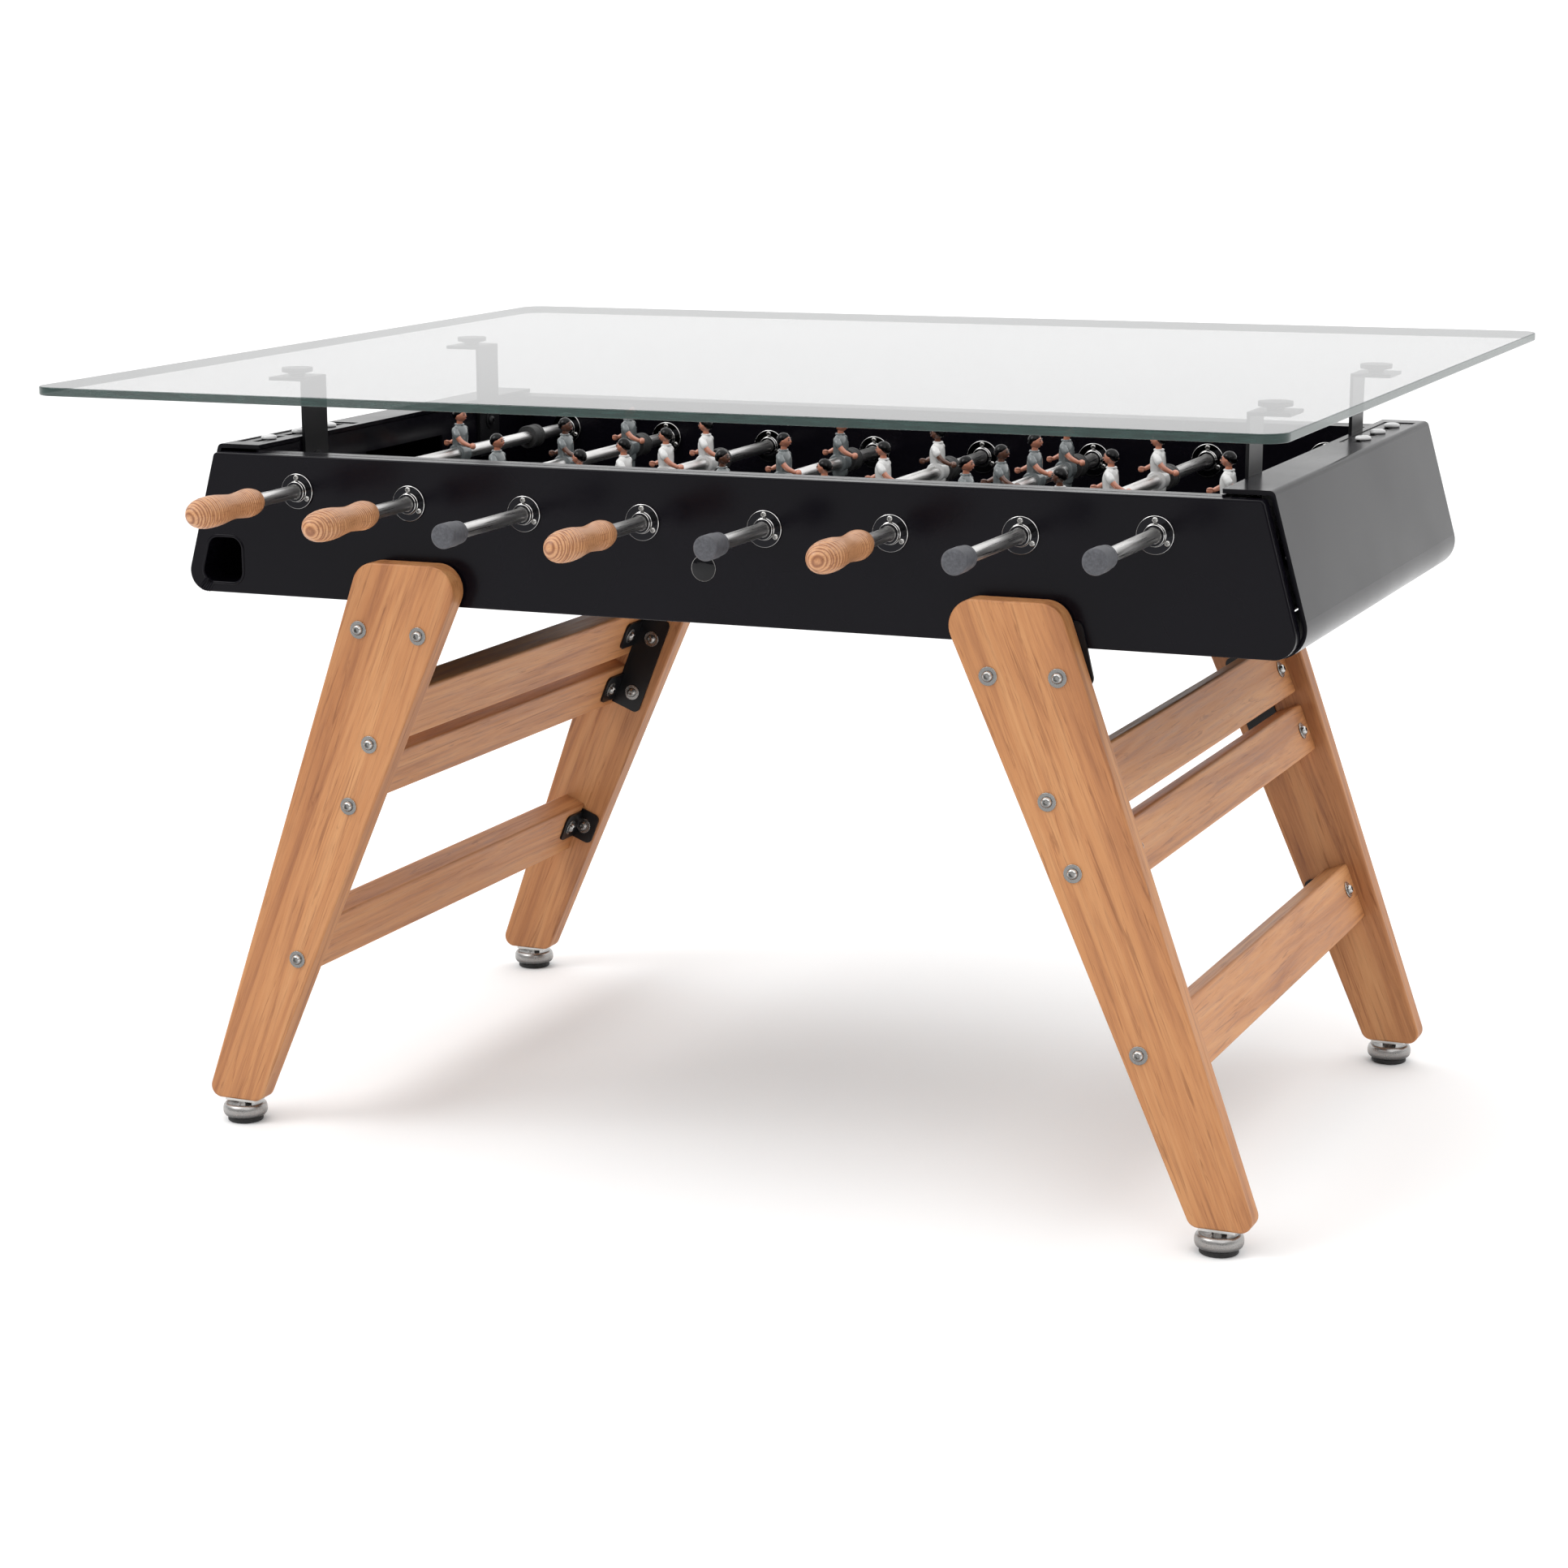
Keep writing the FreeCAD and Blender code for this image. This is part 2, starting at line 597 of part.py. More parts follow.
def tilted_block(name, side, out, up, thick, long, tall, low_y):
    """A box square to the lean: its low inner corner, its thickness outwards and its height upwards."""
    turn = (Y_AXIS, -DIMENSIONS["lean"] * side)
    if side > 0:
        return block(name, (thick, long, tall), (frame_x(1, out, up), low_y, frame_z(out, up)), turn)
    far = f"(({out}) + ({thick}))"
    return block(name, (thick, long, tall), (frame_x(-1, far, up), low_y, frame_z(far, up)), turn)


def tilted_bar(name, side, radius, length, out, up, y):
    """A cylinder that runs outwards, square to the lean."""
    turn = (Y_AXIS, 90 - DIMENSIONS["lean"]) if side > 0 else (Y_AXIS, -90 + DIMENSIONS["lean"])
    cylinder = bind(doc.addObject("Part::Cylinder", name), Radius=radius, Height=length)
    return place(cylinder, (frame_x(side, out, up), y, frame_z(out, up)), turn)


def rounded(name, box, radius, chosen):
    """A box with some of its edges rounded, chosen by their length and their middle in its own frame."""
    fillet = doc.addObject("Part::Fillet", name)
    fillet.Base = box
    doc.recompute()
    back = box.Placement.inverse()
    fillet.Edges = [(k, radius, radius) for k, edge in enumerate(box.Shape.Edges, start=1)
                    if chosen(edge.Length, back.multVec(edge.CenterOfMass))]
    return fillet


def rail(side, kind, name):
    """A wooden cross rail between the two legs of one end."""
    out, up, tall, bolt = RAILS[kind]
    box = tilted_block(name + "_box", side, out, str(up), "rail_thick", "rail_long", str(tall),
                       "-rail_long / 2")
    board = rounded(name + "_eased", box, 4.0, lambda length, middle: length > 500)
    holes = [tilted_bar(f"{name}_hole_{sy + 1}", side, "bolt_hole", "80", f"{out} - 20", str(bolt),
                        f"{sy} * rail_bolt_face") for sy in (-1, 1)]
    return cut(name, board, holes)


sub_part(group("rails", [rail(side, kind, f"rail_{kind}_{tag}")
                         for side, tag in ((-1, "left"), (1, "right")) for kind in RAILS]), "rails")


def bracket(sx, sy, kinds, low, tall, name):
    """A folded plate: one flange flat on the leg and a tab on the inner face of each rail it holds."""
    inner = RAILS[kinds[0]][0]
    leg_back = "leg_face - leg_thick"
    plate, curve, tab_wide = DIMENSIONS["plate"], DIMENSIONS["bracket_round"], 48
    low_y = f"{leg_back} - plate" if sy > 0 else f"-({leg_back})"
    wide = DIMENSIONS[inner] - DIMENSIONS["bracket_in"]
    flange = tilted_block(name + "_flange", sx, "bracket_in", str(low), f"{inner} - bracket_in", "plate",
                          str(tall), low_y)
    free_x = 0 if sx > 0 else wide
    pieces = [rounded(
        name + "_flange_eased", flange, curve,
        lambda length, middle: abs(length - plate) < 0.01 and abs(middle.x - free_x) < 0.01)]
    for kind in kinds:
        bolt = RAILS[kind][3]
        low_y = f"{leg_back} - {tab_wide}" if sy > 0 else f"-({leg_back})"
        free_y = 0 if sy > 0 else tab_wide
        tab = tilted_block(f"{name}_{kind}_tab", sx, f"{inner} - plate", str(bolt - 19), "plate",
                           str(tab_wide), "38", low_y)
        pieces.append(rounded(
            f"{name}_{kind}_tab_eased", tab, curve,
            lambda length, middle: abs(length - plate) < 0.01 and abs(middle.y - free_y) < 0.01))
    holes = []
    for kind in kinds:
        bolt = RAILS[kind][3]
        holes.append(bar(f"{name}_{kind}_leg_hole", "bolt_hole", "40",
                         (frame_x(sx, "bracket_line", bolt), f"{sy} * ({leg_back}) - 20",
                          frame_z("bracket_line", bolt)), "y"))
        holes.append(tilted_bar(f"{name}_{kind}_rail_hole", sx, "bolt_hole", "30", f"{inner} - 15", str(bolt),
                                f"{sy} * rail_bolt_face"))
    return cut(name, join(name + "_plate", pieces), holes)


def mount_plate(sx, sy, name):
    """The plate between a leg and the side panel, which hangs below the panel for the leg's bolts."""
    corners = [(f"{sx} * 446", "687"), (f"{sx} * 463", "615"), (f"{sx} * 334", "615"), (f"{sx} * 306", "687")]
    low = "-leg_face + leg_thick + plate" if sy < 0 else "leg_face - leg_thick"
    body = outline(name + "_sheet", "XZ_Plane", corners, "plate - 0.02", (0, low, 0), [((0, 1, 2, 3), "10")])
    holes = [bar(f"{name}_hole_{n}", "bolt_hole", "40",
                 (f"{sx} * {px}", f"{sy} * panel_face - 20", str(pz)), "y")
             for n, (px, pz) in enumerate(MOUNT_BOLTS)]
    return cut(name, body, holes)


def foot_plate(sx, sy, name):
    """The plate under a leg's foot that the levelling stud screws through."""
    box = block(name + "_sheet", ("42", "24", "plate"),
                (f"{sx} * foot_along - 21", f"{sy} * foot_across - 12", "leg_foot - plate"))
    hole = bar(name + "_hole", "stud_radius + running_gap", "20",
               (f"{sx} * foot_along", f"{sy} * foot_across", "leg_foot - 10"))
    return cut(name, box, [hole])


plates = []
for sx, along in ((-1, "left"), (1, "right")):
    for sy, across in ((-1, "front"), (1, "back")):
        tag = f"{across}_{along}"
        plates.append(bracket(sx, sy, ("high", "middle"), 193, 140, "long_bracket_" + tag))
        plates.append(bracket(sx, sy, ("low",), -16, 44, "short_bracket_" + tag))
        plates.append(mount_plate(sx, sy, "mount_plate_" + tag))
        plates.append(foot_plate(sx, sy, "foot_plate_" + tag))
sub_part(group("leg_brackets", plates), "leg_brackets")


# ---------------------------------------------------------------- screws and bolts

def bolt(name, grip):
    """A button head on a washer at height 0, a shank through the grip, and a nut at the far end."""
    end, nut_end, nut = f"-({grip}) - 8", f"-({grip}) - 7", f"-({grip}) - 0.02"
    return turned(name, [
        (0.001, end), ("bolt_radius", end), ("bolt_radius", nut_end), (6.5, nut_end), (6.5, nut),
        ("bolt_radius", nut), ("bolt_radius", 0.02), ("washer_radius", 0.02), ("washer_radius", 1.8),
        ("head_wide", 1.8), ("head_wide - 0.6", 4), ("head_wide - 3.2", 5.6), (0.001, 5.8)])


def fasteners():
    leg_bolt = bolt("leg_bolt", "leg_thick + plate")
    rail_bolt = bolt("rail_bolt", "rail_thick + plate")
    post_bolt = bolt("post_bolt", "post_thick + plate + 0.1")
    screws = bearing_screws()
    for sx in (-1, 1):
        for sy in (-1, 1):
            out = OUT_FRONT if sy < 0 else OUT_BACK
            spots = [(f"{sx} * {px}", str(pz)) for px, pz in MOUNT_BOLTS]
            spots += [(frame_x(sx, "bracket_line", up), frame_z("bracket_line", up)) for up in LEG_BOLTS]
            for n, (px, pz) in enumerate(spots):
                at = (px, f"{sy} * leg_face", pz)
                screws.append(copy_of(leg_bolt, f"leg_bolt_{sx + 1}{sy + 1}{n}", at, out))
            for n, (inner, _, _, up) in enumerate(RAILS.values()):
                face = f"{inner} + rail_thick"
                turn = (Y_AXIS, 90 - DIMENSIONS["lean"]) if sx > 0 else (Y_AXIS, -90 + DIMENSIONS["lean"])
                at = (frame_x(sx, face, up), f"{sy} * rail_bolt_face", frame_z(face, up))
                screws.append(copy_of(rail_bolt, f"rail_bolt_{sx + 1}{sy + 1}{n}", at, turn))
            for n, up in enumerate(POST_BOLTS):
                at = (f"{sx} * (end_face - post_thick - 0.02)", f"{sy} * post_across", up)
                screws.append(copy_of(post_bolt, f"post_bolt_{sx + 1}{sy + 1}{n}", at, (Y_AXIS, -90 * sx)))
    return screws


sub_part(group("fasteners", fasteners()), "fasteners")


# ---------------------------------------------------------------- levelling feet

def foot(sx, sy, label):
    """A steel disc on a stud, with a rubber sole that stands on the floor."""
    at = (f"{sx} * foot_along", f"{sy} * foot_across", 0)
    disc = turned(label + "_disc", [
        (0.001, 6), ("foot_radius - 5", 6), ("foot_radius - 1.5", 9), ("foot_radius", 14.5),
        ("foot_radius - 1.5", 20.5), ("foot_radius - 5", 23.5), ("foot_radius - 9", 22.5),
        ("nut_radius + 2", 18), ("nut_radius", 18.5), ("nut_radius", "leg_foot - plate - 0.4"),
        ("stud_radius", "leg_foot - plate - 0.4"), ("stud_radius", "stud_top"), (0.001, "stud_top")], at)
    sole = turned(label + "_sole", [(0.001, 0.001), ("sole_radius", 0.001), ("sole_radius", 5.98),
                                    (0.001, 5.98)], at)
    sub_part(group(label, [disc, sole]), label)


for sx, along in ((-1, "left"), (1, "right")):
    for sy, across in ((-1, "front"), (1, "back")):
        foot(sx, sy, f"foot_{across}_{along}")


# ---------------------------------------------------------------- glass top and its supports

def glass():
    corners = [("-glass_length / 2", "-glass_width / 2"), ("glass_length / 2", "-glass_width / 2"),
               ("glass_length / 2", "glass_width / 2"), ("-glass_length / 2", "glass_width / 2")]
    pane = outline("glass_pane", "XY_Plane", corners, "glass_thick", (0, 0, "glass_top - glass_thick"),
                   [((0, 1, 2, 3), "glass_round")])
    soften("glass_edge", pane, "1.5", facing(Z_AXIS))
    sub_part(pane, "glass_top")


def support(sx, sy, name):
    """A strip bolted inside the end wall, bent out at its top to carry a disc under the glass."""
    low_y = f"{sy} * post_across - post_wide / 2"
    under = "glass_top - glass_thick"
    low_x = "end_face - post_thick - 0.02" if sx > 0 else "-end_face + 0.02"
    strip = block(name + "_strip", ("post_thick", "post_wide", f"{under} - 10 - post_low"),
                  (low_x, low_y, "post_low"))
    tab_x = "end_face - post_thick - 0.02" if sx > 0 else "-tab_out"
    tab = block(name + "_tab", ("tab_out - end_face + post_thick", "post_wide", "post_thick"),
                (tab_x, low_y, f"{under} - 10 - post_thick"))
    holes = [bar(f"{name}_hole_{n}", "bolt_hole", "20",
                 (f"{sx} * end_face - 10", f"{sy} * post_across", up), "x")
             for n, up in enumerate(POST_BOLTS)]
    post = cut(name, join(name + "_bent", [strip, tab]), holes)
    disc = turned(name + "_disc", [(0.001, -16), (6, -16), (8, -14.05), (8, -14.02), (0.001, -14.02)],
                  (f"{sx} * disc_along", f"{sy} * post_across", under))
    pad = turned(name + "_pad", [(0.001, -9.98), (9, -9.98), (10, -7), ("disc_radius", -5),
                                 ("disc_radius", -0.02), (0.001, -0.02)],
                 (f"{sx} * disc_along", f"{sy} * post_across", under))
    return [post, pad, disc]


glass()
supports = []
for sx in (-1, 1):
    for sy in (-1, 1):
        supports += support(sx, sy, f"support_{sx + 1}{sy + 1}")
sub_part(group("glass_supports", supports), "glass_supports")


# ---------------------------------------------------------------- score counters

KNOBS = (-1, 0, 1)


def counter(side, name):
    """A plate let into the cap, with three slots."""
    low_x = "score_in + 0.5" if side > 0 else "-score_in - score_wide + 0.5"
    top = "body_top + cap_gap + cap_thick - 1"
    plate = block(name + "_sheet", ("score_wide - 1", "score_long - 1", "sheet"),
                  (low_x, f"{side} * score_mid - score_long / 2 + 0.5", f"{top} - sheet"))
    slots = [block(f"{name}_slot_{k + 1}", ("slot_wide", "slot_long", "20"),
                   (f"{side} * (score_in + score_wide / 2) - slot_wide / 2",
                    f"{side} * score_mid + {k} * score_pitch - slot_long / 2", f"{top} - 12")) for k in KNOBS]
    return cut(name, plate, slots)


sub_part(group("score_plates", [counter(-1, "left_counter"), counter(1, "right_counter")]), "score_plates")

for side, tag in ((-1, "left"), (1, "right")):
    for n, k in enumerate(KNOBS, start=1):
        top = "body_top + cap_gap + cap_thick - 1"
        at = (f"{side} * (score_in + score_wide / 2)", f"{side} * score_mid + {k} * score_pitch", top)
        knob = turned(f"{tag}_knob_{n}", [
            (0.001, -6), (7, -6), (7, "-sheet - 0.3"), ("slot_wide / 2 - 0.4", "-sheet - 0.3"),
            ("slot_wide / 2 - 0.4", 0.3), ("knob_radius", 0.3), ("knob_radius", 2.2), ("knob_radius - 1.5", 4),
            ("knob_radius - 4", 4.9), (0.001, 5.2)], at)
        sub_part(knob, f"score_knob_{tag}_{n}")


# ---------------------------------------------------------------- check and write

doc.recompute()
for thing in doc.Objects:
    state = set(thing.State)
    if state & {"Invalid", "Error"}:
        raise SystemExit(f"{thing.Name} failed: {state}")
for thing in SUB_PARTS:
    if thing.Shape.isNull() or not thing.Shape.isValid() or not thing.Shape.Solids:
        raise SystemExit(f"{thing.Label} has no valid shape")

os.makedirs("parts", exist_ok=True)
for thing in SUB_PARTS:
    thing.Shape.exportStep(f"parts/{thing.Label}.step")
print(len(SUB_PARTS), "sub-parts written")
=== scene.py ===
import bpy
import json
import math
import random
from mathutils import Matrix, Vector


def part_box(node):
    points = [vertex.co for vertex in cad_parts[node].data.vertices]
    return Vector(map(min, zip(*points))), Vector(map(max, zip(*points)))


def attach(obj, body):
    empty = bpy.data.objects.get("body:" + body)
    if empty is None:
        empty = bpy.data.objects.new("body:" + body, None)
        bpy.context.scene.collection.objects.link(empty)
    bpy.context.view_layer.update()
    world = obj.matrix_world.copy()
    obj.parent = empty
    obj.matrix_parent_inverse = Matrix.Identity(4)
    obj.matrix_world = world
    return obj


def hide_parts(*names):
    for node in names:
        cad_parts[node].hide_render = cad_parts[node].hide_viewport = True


# A foosball table with a glass dining top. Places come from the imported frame, in metres; the
# shapes of the small pieces are given in millimetres in their own frames and scaled by MM.

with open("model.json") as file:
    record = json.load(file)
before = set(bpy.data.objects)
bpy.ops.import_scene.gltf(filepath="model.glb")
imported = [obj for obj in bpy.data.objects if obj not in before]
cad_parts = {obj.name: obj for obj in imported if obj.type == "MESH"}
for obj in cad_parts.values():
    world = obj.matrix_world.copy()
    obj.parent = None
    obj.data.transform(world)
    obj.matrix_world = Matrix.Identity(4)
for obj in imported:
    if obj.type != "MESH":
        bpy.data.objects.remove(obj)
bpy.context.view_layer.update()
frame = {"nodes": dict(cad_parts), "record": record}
MM = 0.001
RNG = random.Random(11)

X_AXIS, Y_AXIS, Z_AXIS = Vector((1, 0, 0)), Vector((0, 1, 0)), Vector((0, 0, 1))
RODS = range(1, 9)
JOINTS = {joint["name"]: joint for joint in frame["record"]["behaviour"]["joints"]}
OPENINGS = {space["name"]: space["box_m"] for space in frame["record"]["physics"]["openings"]}


# ------ meshes

def new_mesh(name, verts, faces, sharp=35):
    """A smooth-shaded mesh in metres from millimetres, with edges over an angle kept sharp."""
    mesh = bpy.data.meshes.new(name)
    mesh.from_pydata([tuple(MM * c for c in v) for v in verts], [], faces)
    mesh.validate()
    mesh.polygons.foreach_set("use_smooth", [True] * len(mesh.polygons))
    mesh.set_sharp_from_angle(angle=math.radians(sharp))
    return mesh


def add_object(name, data):
    """A new object in the scene."""
    thing = bpy.data.objects.new(name, data)
    bpy.context.scene.collection.objects.link(thing)
    return thing


def piece(name, mesh, body, materials, matrix=None, stands_for=()):
    """An object that rides on a body and takes its finish from a slot."""
    thing = add_object(name, mesh)
    if matrix is not None:
        thing.matrix_world = matrix
    if not mesh.materials:
        for material in materials:
            mesh.materials.append(material)
    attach(thing, body)
    if stands_for:
        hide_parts(*stands_for)
    return thing


HOLD = 0.12        # how far a held point stands off its arc, in mm
EDGE_SHARE = 0.45  # the most of an edge that the rounding at one of its ends takes


def eased(profile, radius, steps=4, loop=False):
    """A lathe profile with its inner corners rounded, by no more than their neighbours allow.

    A point HOLD outside each arc keeps the flats flat under smooth shading.
    """
    points = [Vector(p) for p in profile]
    if loop:
        points = [points[-1]] + points + [points[0]]
    out = [] if loop else [points[0]]
    for before, here, after in zip(points, points[1:], points[2:]):
        back, ahead = before - here, after - here
        reach = min(radius, EDGE_SHARE * back.length, EDGE_SHARE * ahead.length)
        back, ahead = back.normalized(), ahead.normalized()
        start, end = here + back * reach, here + ahead * reach
        held = min(HOLD, 0.1 * reach)
        out.append(start + back * held)
        for n in range(steps + 1):
            t = n / steps
            out.append(start * (1 - t) ** 2 + here * 2 * t * (1 - t) + end * t ** 2)
        out.append(end + ahead * held)
    if not loop:
        out.append(points[-1])
    return [(p.x, p.y) for p in out]


def around(sides):
    """The angles of evenly spaced points round a circle."""
    return [math.tau * n / sides for n in range(sides)]


def lathe(profile, sides=48):
    """Vertices and faces of (radius, height) points swept round +Z; a radius of 0 closes the end."""
    verts, faces, rings = [], [], []
    for radius, height in profile:
        if radius < 1e-6:
            rings.append([len(verts)])
            verts.append((0, 0, height))
        else:
            rings.append(list(range(len(verts), len(verts) + sides)))
            verts += [(radius * math.cos(a), radius * math.sin(a), height) for a in around(sides)]
    for low, high in zip(rings, rings[1:]):
        for n in range(sides):
            m = (n + 1) % sides
            if len(low) == 1 and len(high) > 1:
                faces.append((low[0], high[m], high[n]))
            elif len(high) == 1 and len(low) > 1:
                faces.append((low[n], low[m], high[0]))
            elif len(low) > 1:
                faces.append((low[n], low[m], high[m], high[n]))
    return verts, faces


def closed_lathe(profile, sides=48):
    """A ring: a lathe whose profile is a loop that stays off the axis."""
    verts, faces = lathe(profile + [profile[0]], sides)
    last = len(profile) * sides
    return verts[:last], [tuple(v % last for v in face) for face in faces]


def rings_to_mesh(rings):
    """Skin a list of equal rings of points, closing both ends with a fan."""
    sides = len(rings[0])
    verts = [tuple(p) for ring in rings for p in ring]
    faces = []
    for k in range(len(rings) - 1):
        for n in range(sides):
            m = (n + 1) % sides
            faces.append((k * sides + n, k * sides + m, (k + 1) * sides + m, (k + 1) * sides + n))
    for ring, flip in ((0, True), (len(rings) - 1, False)):
        middle = sum((Vector(p) for p in rings[ring]), Vector()) / sides
        verts.append(tuple(middle))
        for n in range(sides):
            a, b = ring * sides + n, ring * sides + (n + 1) % sides
            faces.append((b, a, len(verts) - 1) if flip else (a, b, len(verts) - 1))
    return verts, faces


SQUARENESS = 2.3  # the power of a loft's sections, where 2 is an ellipse


def loft(levels, sides=28):
    """A body of rounded sections: (height, forward, half depth, half width) for each level."""
    rings = []
    for height, forward, deep, wide in levels:
        ring = []
        for a in around(sides):
            c, s = math.cos(a), math.sin(a)
            x = math.copysign(abs(c) ** (2 / SQUARENESS), c) * deep
            y = math.copysign(abs(s) ** (2 / SQUARENESS), s) * wide
            ring.append((forward + x, y, height))
        rings.append(ring)
    return rings_to_mesh(rings)


def smooth_path(points, radii, steps=5):
    """Points and radii along a Catmull-Rom line through the given ones."""
    ext = [points[0] * 2 - points[1]] + points + [points[-1] * 2 - points[-2]]
    line, widths = [], []
    for k in range(1, len(ext) - 2):
        a, b, c, d = ext[k - 1:k + 3]
        for n in range(steps):
            t = n / steps
            line.append(0.5 * (2 * b + (c - a) * t + (2 * a - 5 * b + 4 * c - d) * t * t
                               + (3 * b - a - 3 * c + d) * t ** 3))
            widths.append(radii[k - 1] * (1 - t) + radii[k] * t)
    return line + [points[-1]], widths + [radii[-1]]


ROUND_END = (0.95, 0.75, 0.4)  # where the rings of a limb's round end lie, in shares of its radius


def tube(points, radii, sides=16):
    """A limb along a smooth line, round at both ends."""
    line, widths = smooth_path([Vector(p) for p in points], radii)
    first = (line[1] - line[0]).normalized()
    last = (line[-1] - line[-2]).normalized()
    head = [(line[0] - first * widths[0] * e, widths[0] * math.sqrt(1 - e * e)) for e in ROUND_END]
    tail = [(line[-1] + last * widths[-1] * e, widths[-1] * math.sqrt(1 - e * e))
            for e in reversed(ROUND_END)]
    stations = head + list(zip(line, widths)) + tail
    rings = []
    side = first.orthogonal().normalized()
    for k, (centre, radius) in enumerate(stations):
        ahead = stations[min(k + 1, len(stations) - 1)][0] - stations[max(k - 1, 0)][0]
        ahead.normalize()
        side = (side - ahead * side.dot(ahead)).normalized()
        up = ahead.cross(side)
        rings.append([centre + side * radius * math.cos(a) + up * radius * math.sin(a)
                      for a in around(sides)])
    return rings_to_mesh(rings)


def globe(centre, radii, across, round_about, shape=None):
    """A ball-like form; shape(direction) scales the distance from the middle."""
    rings = []
    for k in range(1, across):
        polar = math.pi * k / across
        ring = []
        for a in around(round_about):
            way = Vector((math.sin(polar) * math.cos(a), math.sin(polar) * math.sin(a), -math.cos(polar)))
            scale = shape(way) if shape else 1
            ring.append([centre[i] + radii[i] * way[i] * scale for i in range(3)])
        rings.append(ring)
    return rings_to_mesh(rings)


def gather(parts, name, sharp=35):
    """One mesh of several (vertices, faces, material number) parts."""
    verts, faces, slots = [], [], []
    for part_verts, part_faces, number in parts:
        base = len(verts)
        verts += part_verts
        faces += [tuple(v + base for v in face) for face in part_faces]
        slots += [number] * len(part_faces)
    mesh = new_mesh(name, verts, faces, sharp)
    mesh.polygons.foreach_set("material_index", slots)
    return mesh


def moved(part, matrix, number=0):
    """A part with its points moved by a matrix given in millimetres."""
    verts, faces = part[0], part[1]
    return [tuple(matrix @ Vector(v)) for v in verts], faces, number


# ------ materials

COAT_ROUGHNESS = 0.08


def material(name, color, roughness, metallic=0.0, specular=0.5, coat=0.0):
    """A material with its shader, and the colour left for the caller to break up."""
    made = bpy.data.materials.new(name)
    made.use_nodes = True
    shader = made.node_tree.nodes["Principled BSDF"]
    shader.inputs["Base Color"].default_value = (*color, 1)
    shader.inputs["Roughness"].default_value = roughness
    shader.inputs["Metallic"].default_value = metallic
    shader.inputs["Specular IOR Level"].default_value = specular
    shader.inputs["Coat Weight"].default_value = coat
    shader.inputs["Coat Roughness"].default_value = COAT_ROUGHNESS
    return made, made.node_tree, shader


def node(tree, kind, inputs=None, **settings):
    """A shader node with its settings, its inputs linked to sockets or set to values."""
    made = tree.nodes.new(kind)
    for key, value in settings.items():
        setattr(made, key, value)
    for key, value in (inputs or {}).items():
        if isinstance(value, bpy.types.NodeSocket):
            tree.links.new(value, made.inputs[key])
        else:
            made.inputs[key].default_value = value
    return made


def place_of(tree, scale=(1, 1, 1), turn=(0, 0, 0)):
    """Object coordinates, turned and then stretched."""
    where = node(tree, "ShaderNodeTexCoord").outputs["Object"]
    turned = node(tree, "ShaderNodeMapping", {"Vector": where, "Rotation": turn}).outputs["Vector"]
    return node(tree, "ShaderNodeMapping", {"Vector": turned, "Scale": scale}).outputs["Vector"]


def noise(tree, vector, scale, detail=3.0, roughness=0.5, distortion=0.0):
    settings = {"Vector": vector, "Scale": scale, "Detail": detail, "Roughness": roughness,
                "Distortion": distortion}
    return node(tree, "ShaderNodeTexNoise", settings).outputs["Fac"]


def math_of(tree, operation, *values, **settings):
    """The result of a Math node."""
    made = node(tree, "ShaderNodeMath", dict(enumerate(values)), operation=operation, **settings)
    return made.outputs["Value"]


def ramp(tree, factor, stops):
    """A colour that goes through (position, colour) stops."""
    made = node(tree, "ShaderNodeValToRGB", {"Fac": factor})
    while len(made.color_ramp.elements) < len(stops):
        made.color_ramp.elements.new(0.5)
    for element, (position, color) in zip(made.color_ramp.elements, stops):
        element.position = position
        element.color = (*color, 1)
    return made.outputs["Color"]


def span(tree, factor, low, high, start=0.0, end=1.0):
    """A number between two ends as a factor goes from start to end."""
    return node(tree, "ShaderNodeMapRange", {"Value": factor, "From Min": start, "From Max": end,
                                             "To Min": low, "To Max": high}).outputs["Result"]


def mix(tree, factor, a, b, blend="MIX"):
    """One colour mixed into another, either of them a value or a socket."""
    made = node(tree, "ShaderNodeMix", data_type="RGBA", blend_type=blend)
    for key, value in ((0, factor), (6, a), (7, b)):
        if isinstance(value, bpy.types.NodeSocket):
            tree.links.new(value, made.inputs[key])
        else:
            made.inputs[key].default_value = value if key == 0 else (*value, 1)
    return made.outputs[2]


def wire(tree, shader, color, roughness, **others):
    """Link the sockets that vary over a surface to its shader."""
    for name, socket in {"Base Color": color, "Roughness": roughness, **others}.items():
        tree.links.new(socket, shader.inputs[name])


def bump(tree, shader, height, strength, distance):
    """Fine relief on a shader, its full height given in metres."""
    made = node(tree, "ShaderNodeBump", {"Height": height, "Strength": strength, "Distance": distance})
    tree.links.new(made.outputs["Normal"], shader.inputs["Normal"])


BARE_STEEL = (0.60, 0.60, 0.585)
STEEL_EDGE = 0.0004  # the height over which coat gives way to steel, in metres


def powder_coat(name, color, roughness, specular=0.32, steel_below=None):
    """Satin powder coat: a fine orange peel, with faint cloudy changes in gloss.

    Below a given height in metres the piece is bare steel instead.
    """
    made, tree, shader = material(name, color, roughness, specular=specular)
    where = place_of(tree)
    fine = noise(tree, where, 1400, detail=2)
    cloud = noise(tree, where, 6, detail=4)
    light = tuple(1.5 * c + 0.002 for c in color)
    coat = mix(tree, span(tree, cloud, 0, 0.5, 0.35, 0.75), color, light)
    if steel_below:
        height = node(tree, "ShaderNodeSeparateXYZ", {"Vector": where}).outputs["Z"]
        bare = span(tree, height, 1, 0, steel_below, steel_below + STEEL_EDGE)
        coat = mix(tree, bare, coat, BARE_STEEL)
        tree.links.new(bare, shader.inputs["Metallic"])
    wire(tree, shader, coat, span(tree, cloud, roughness - 0.03, roughness + 0.06, 0.3, 0.7))
    bump(tree, shader, fine, 0.10, 0.0002)
    return made


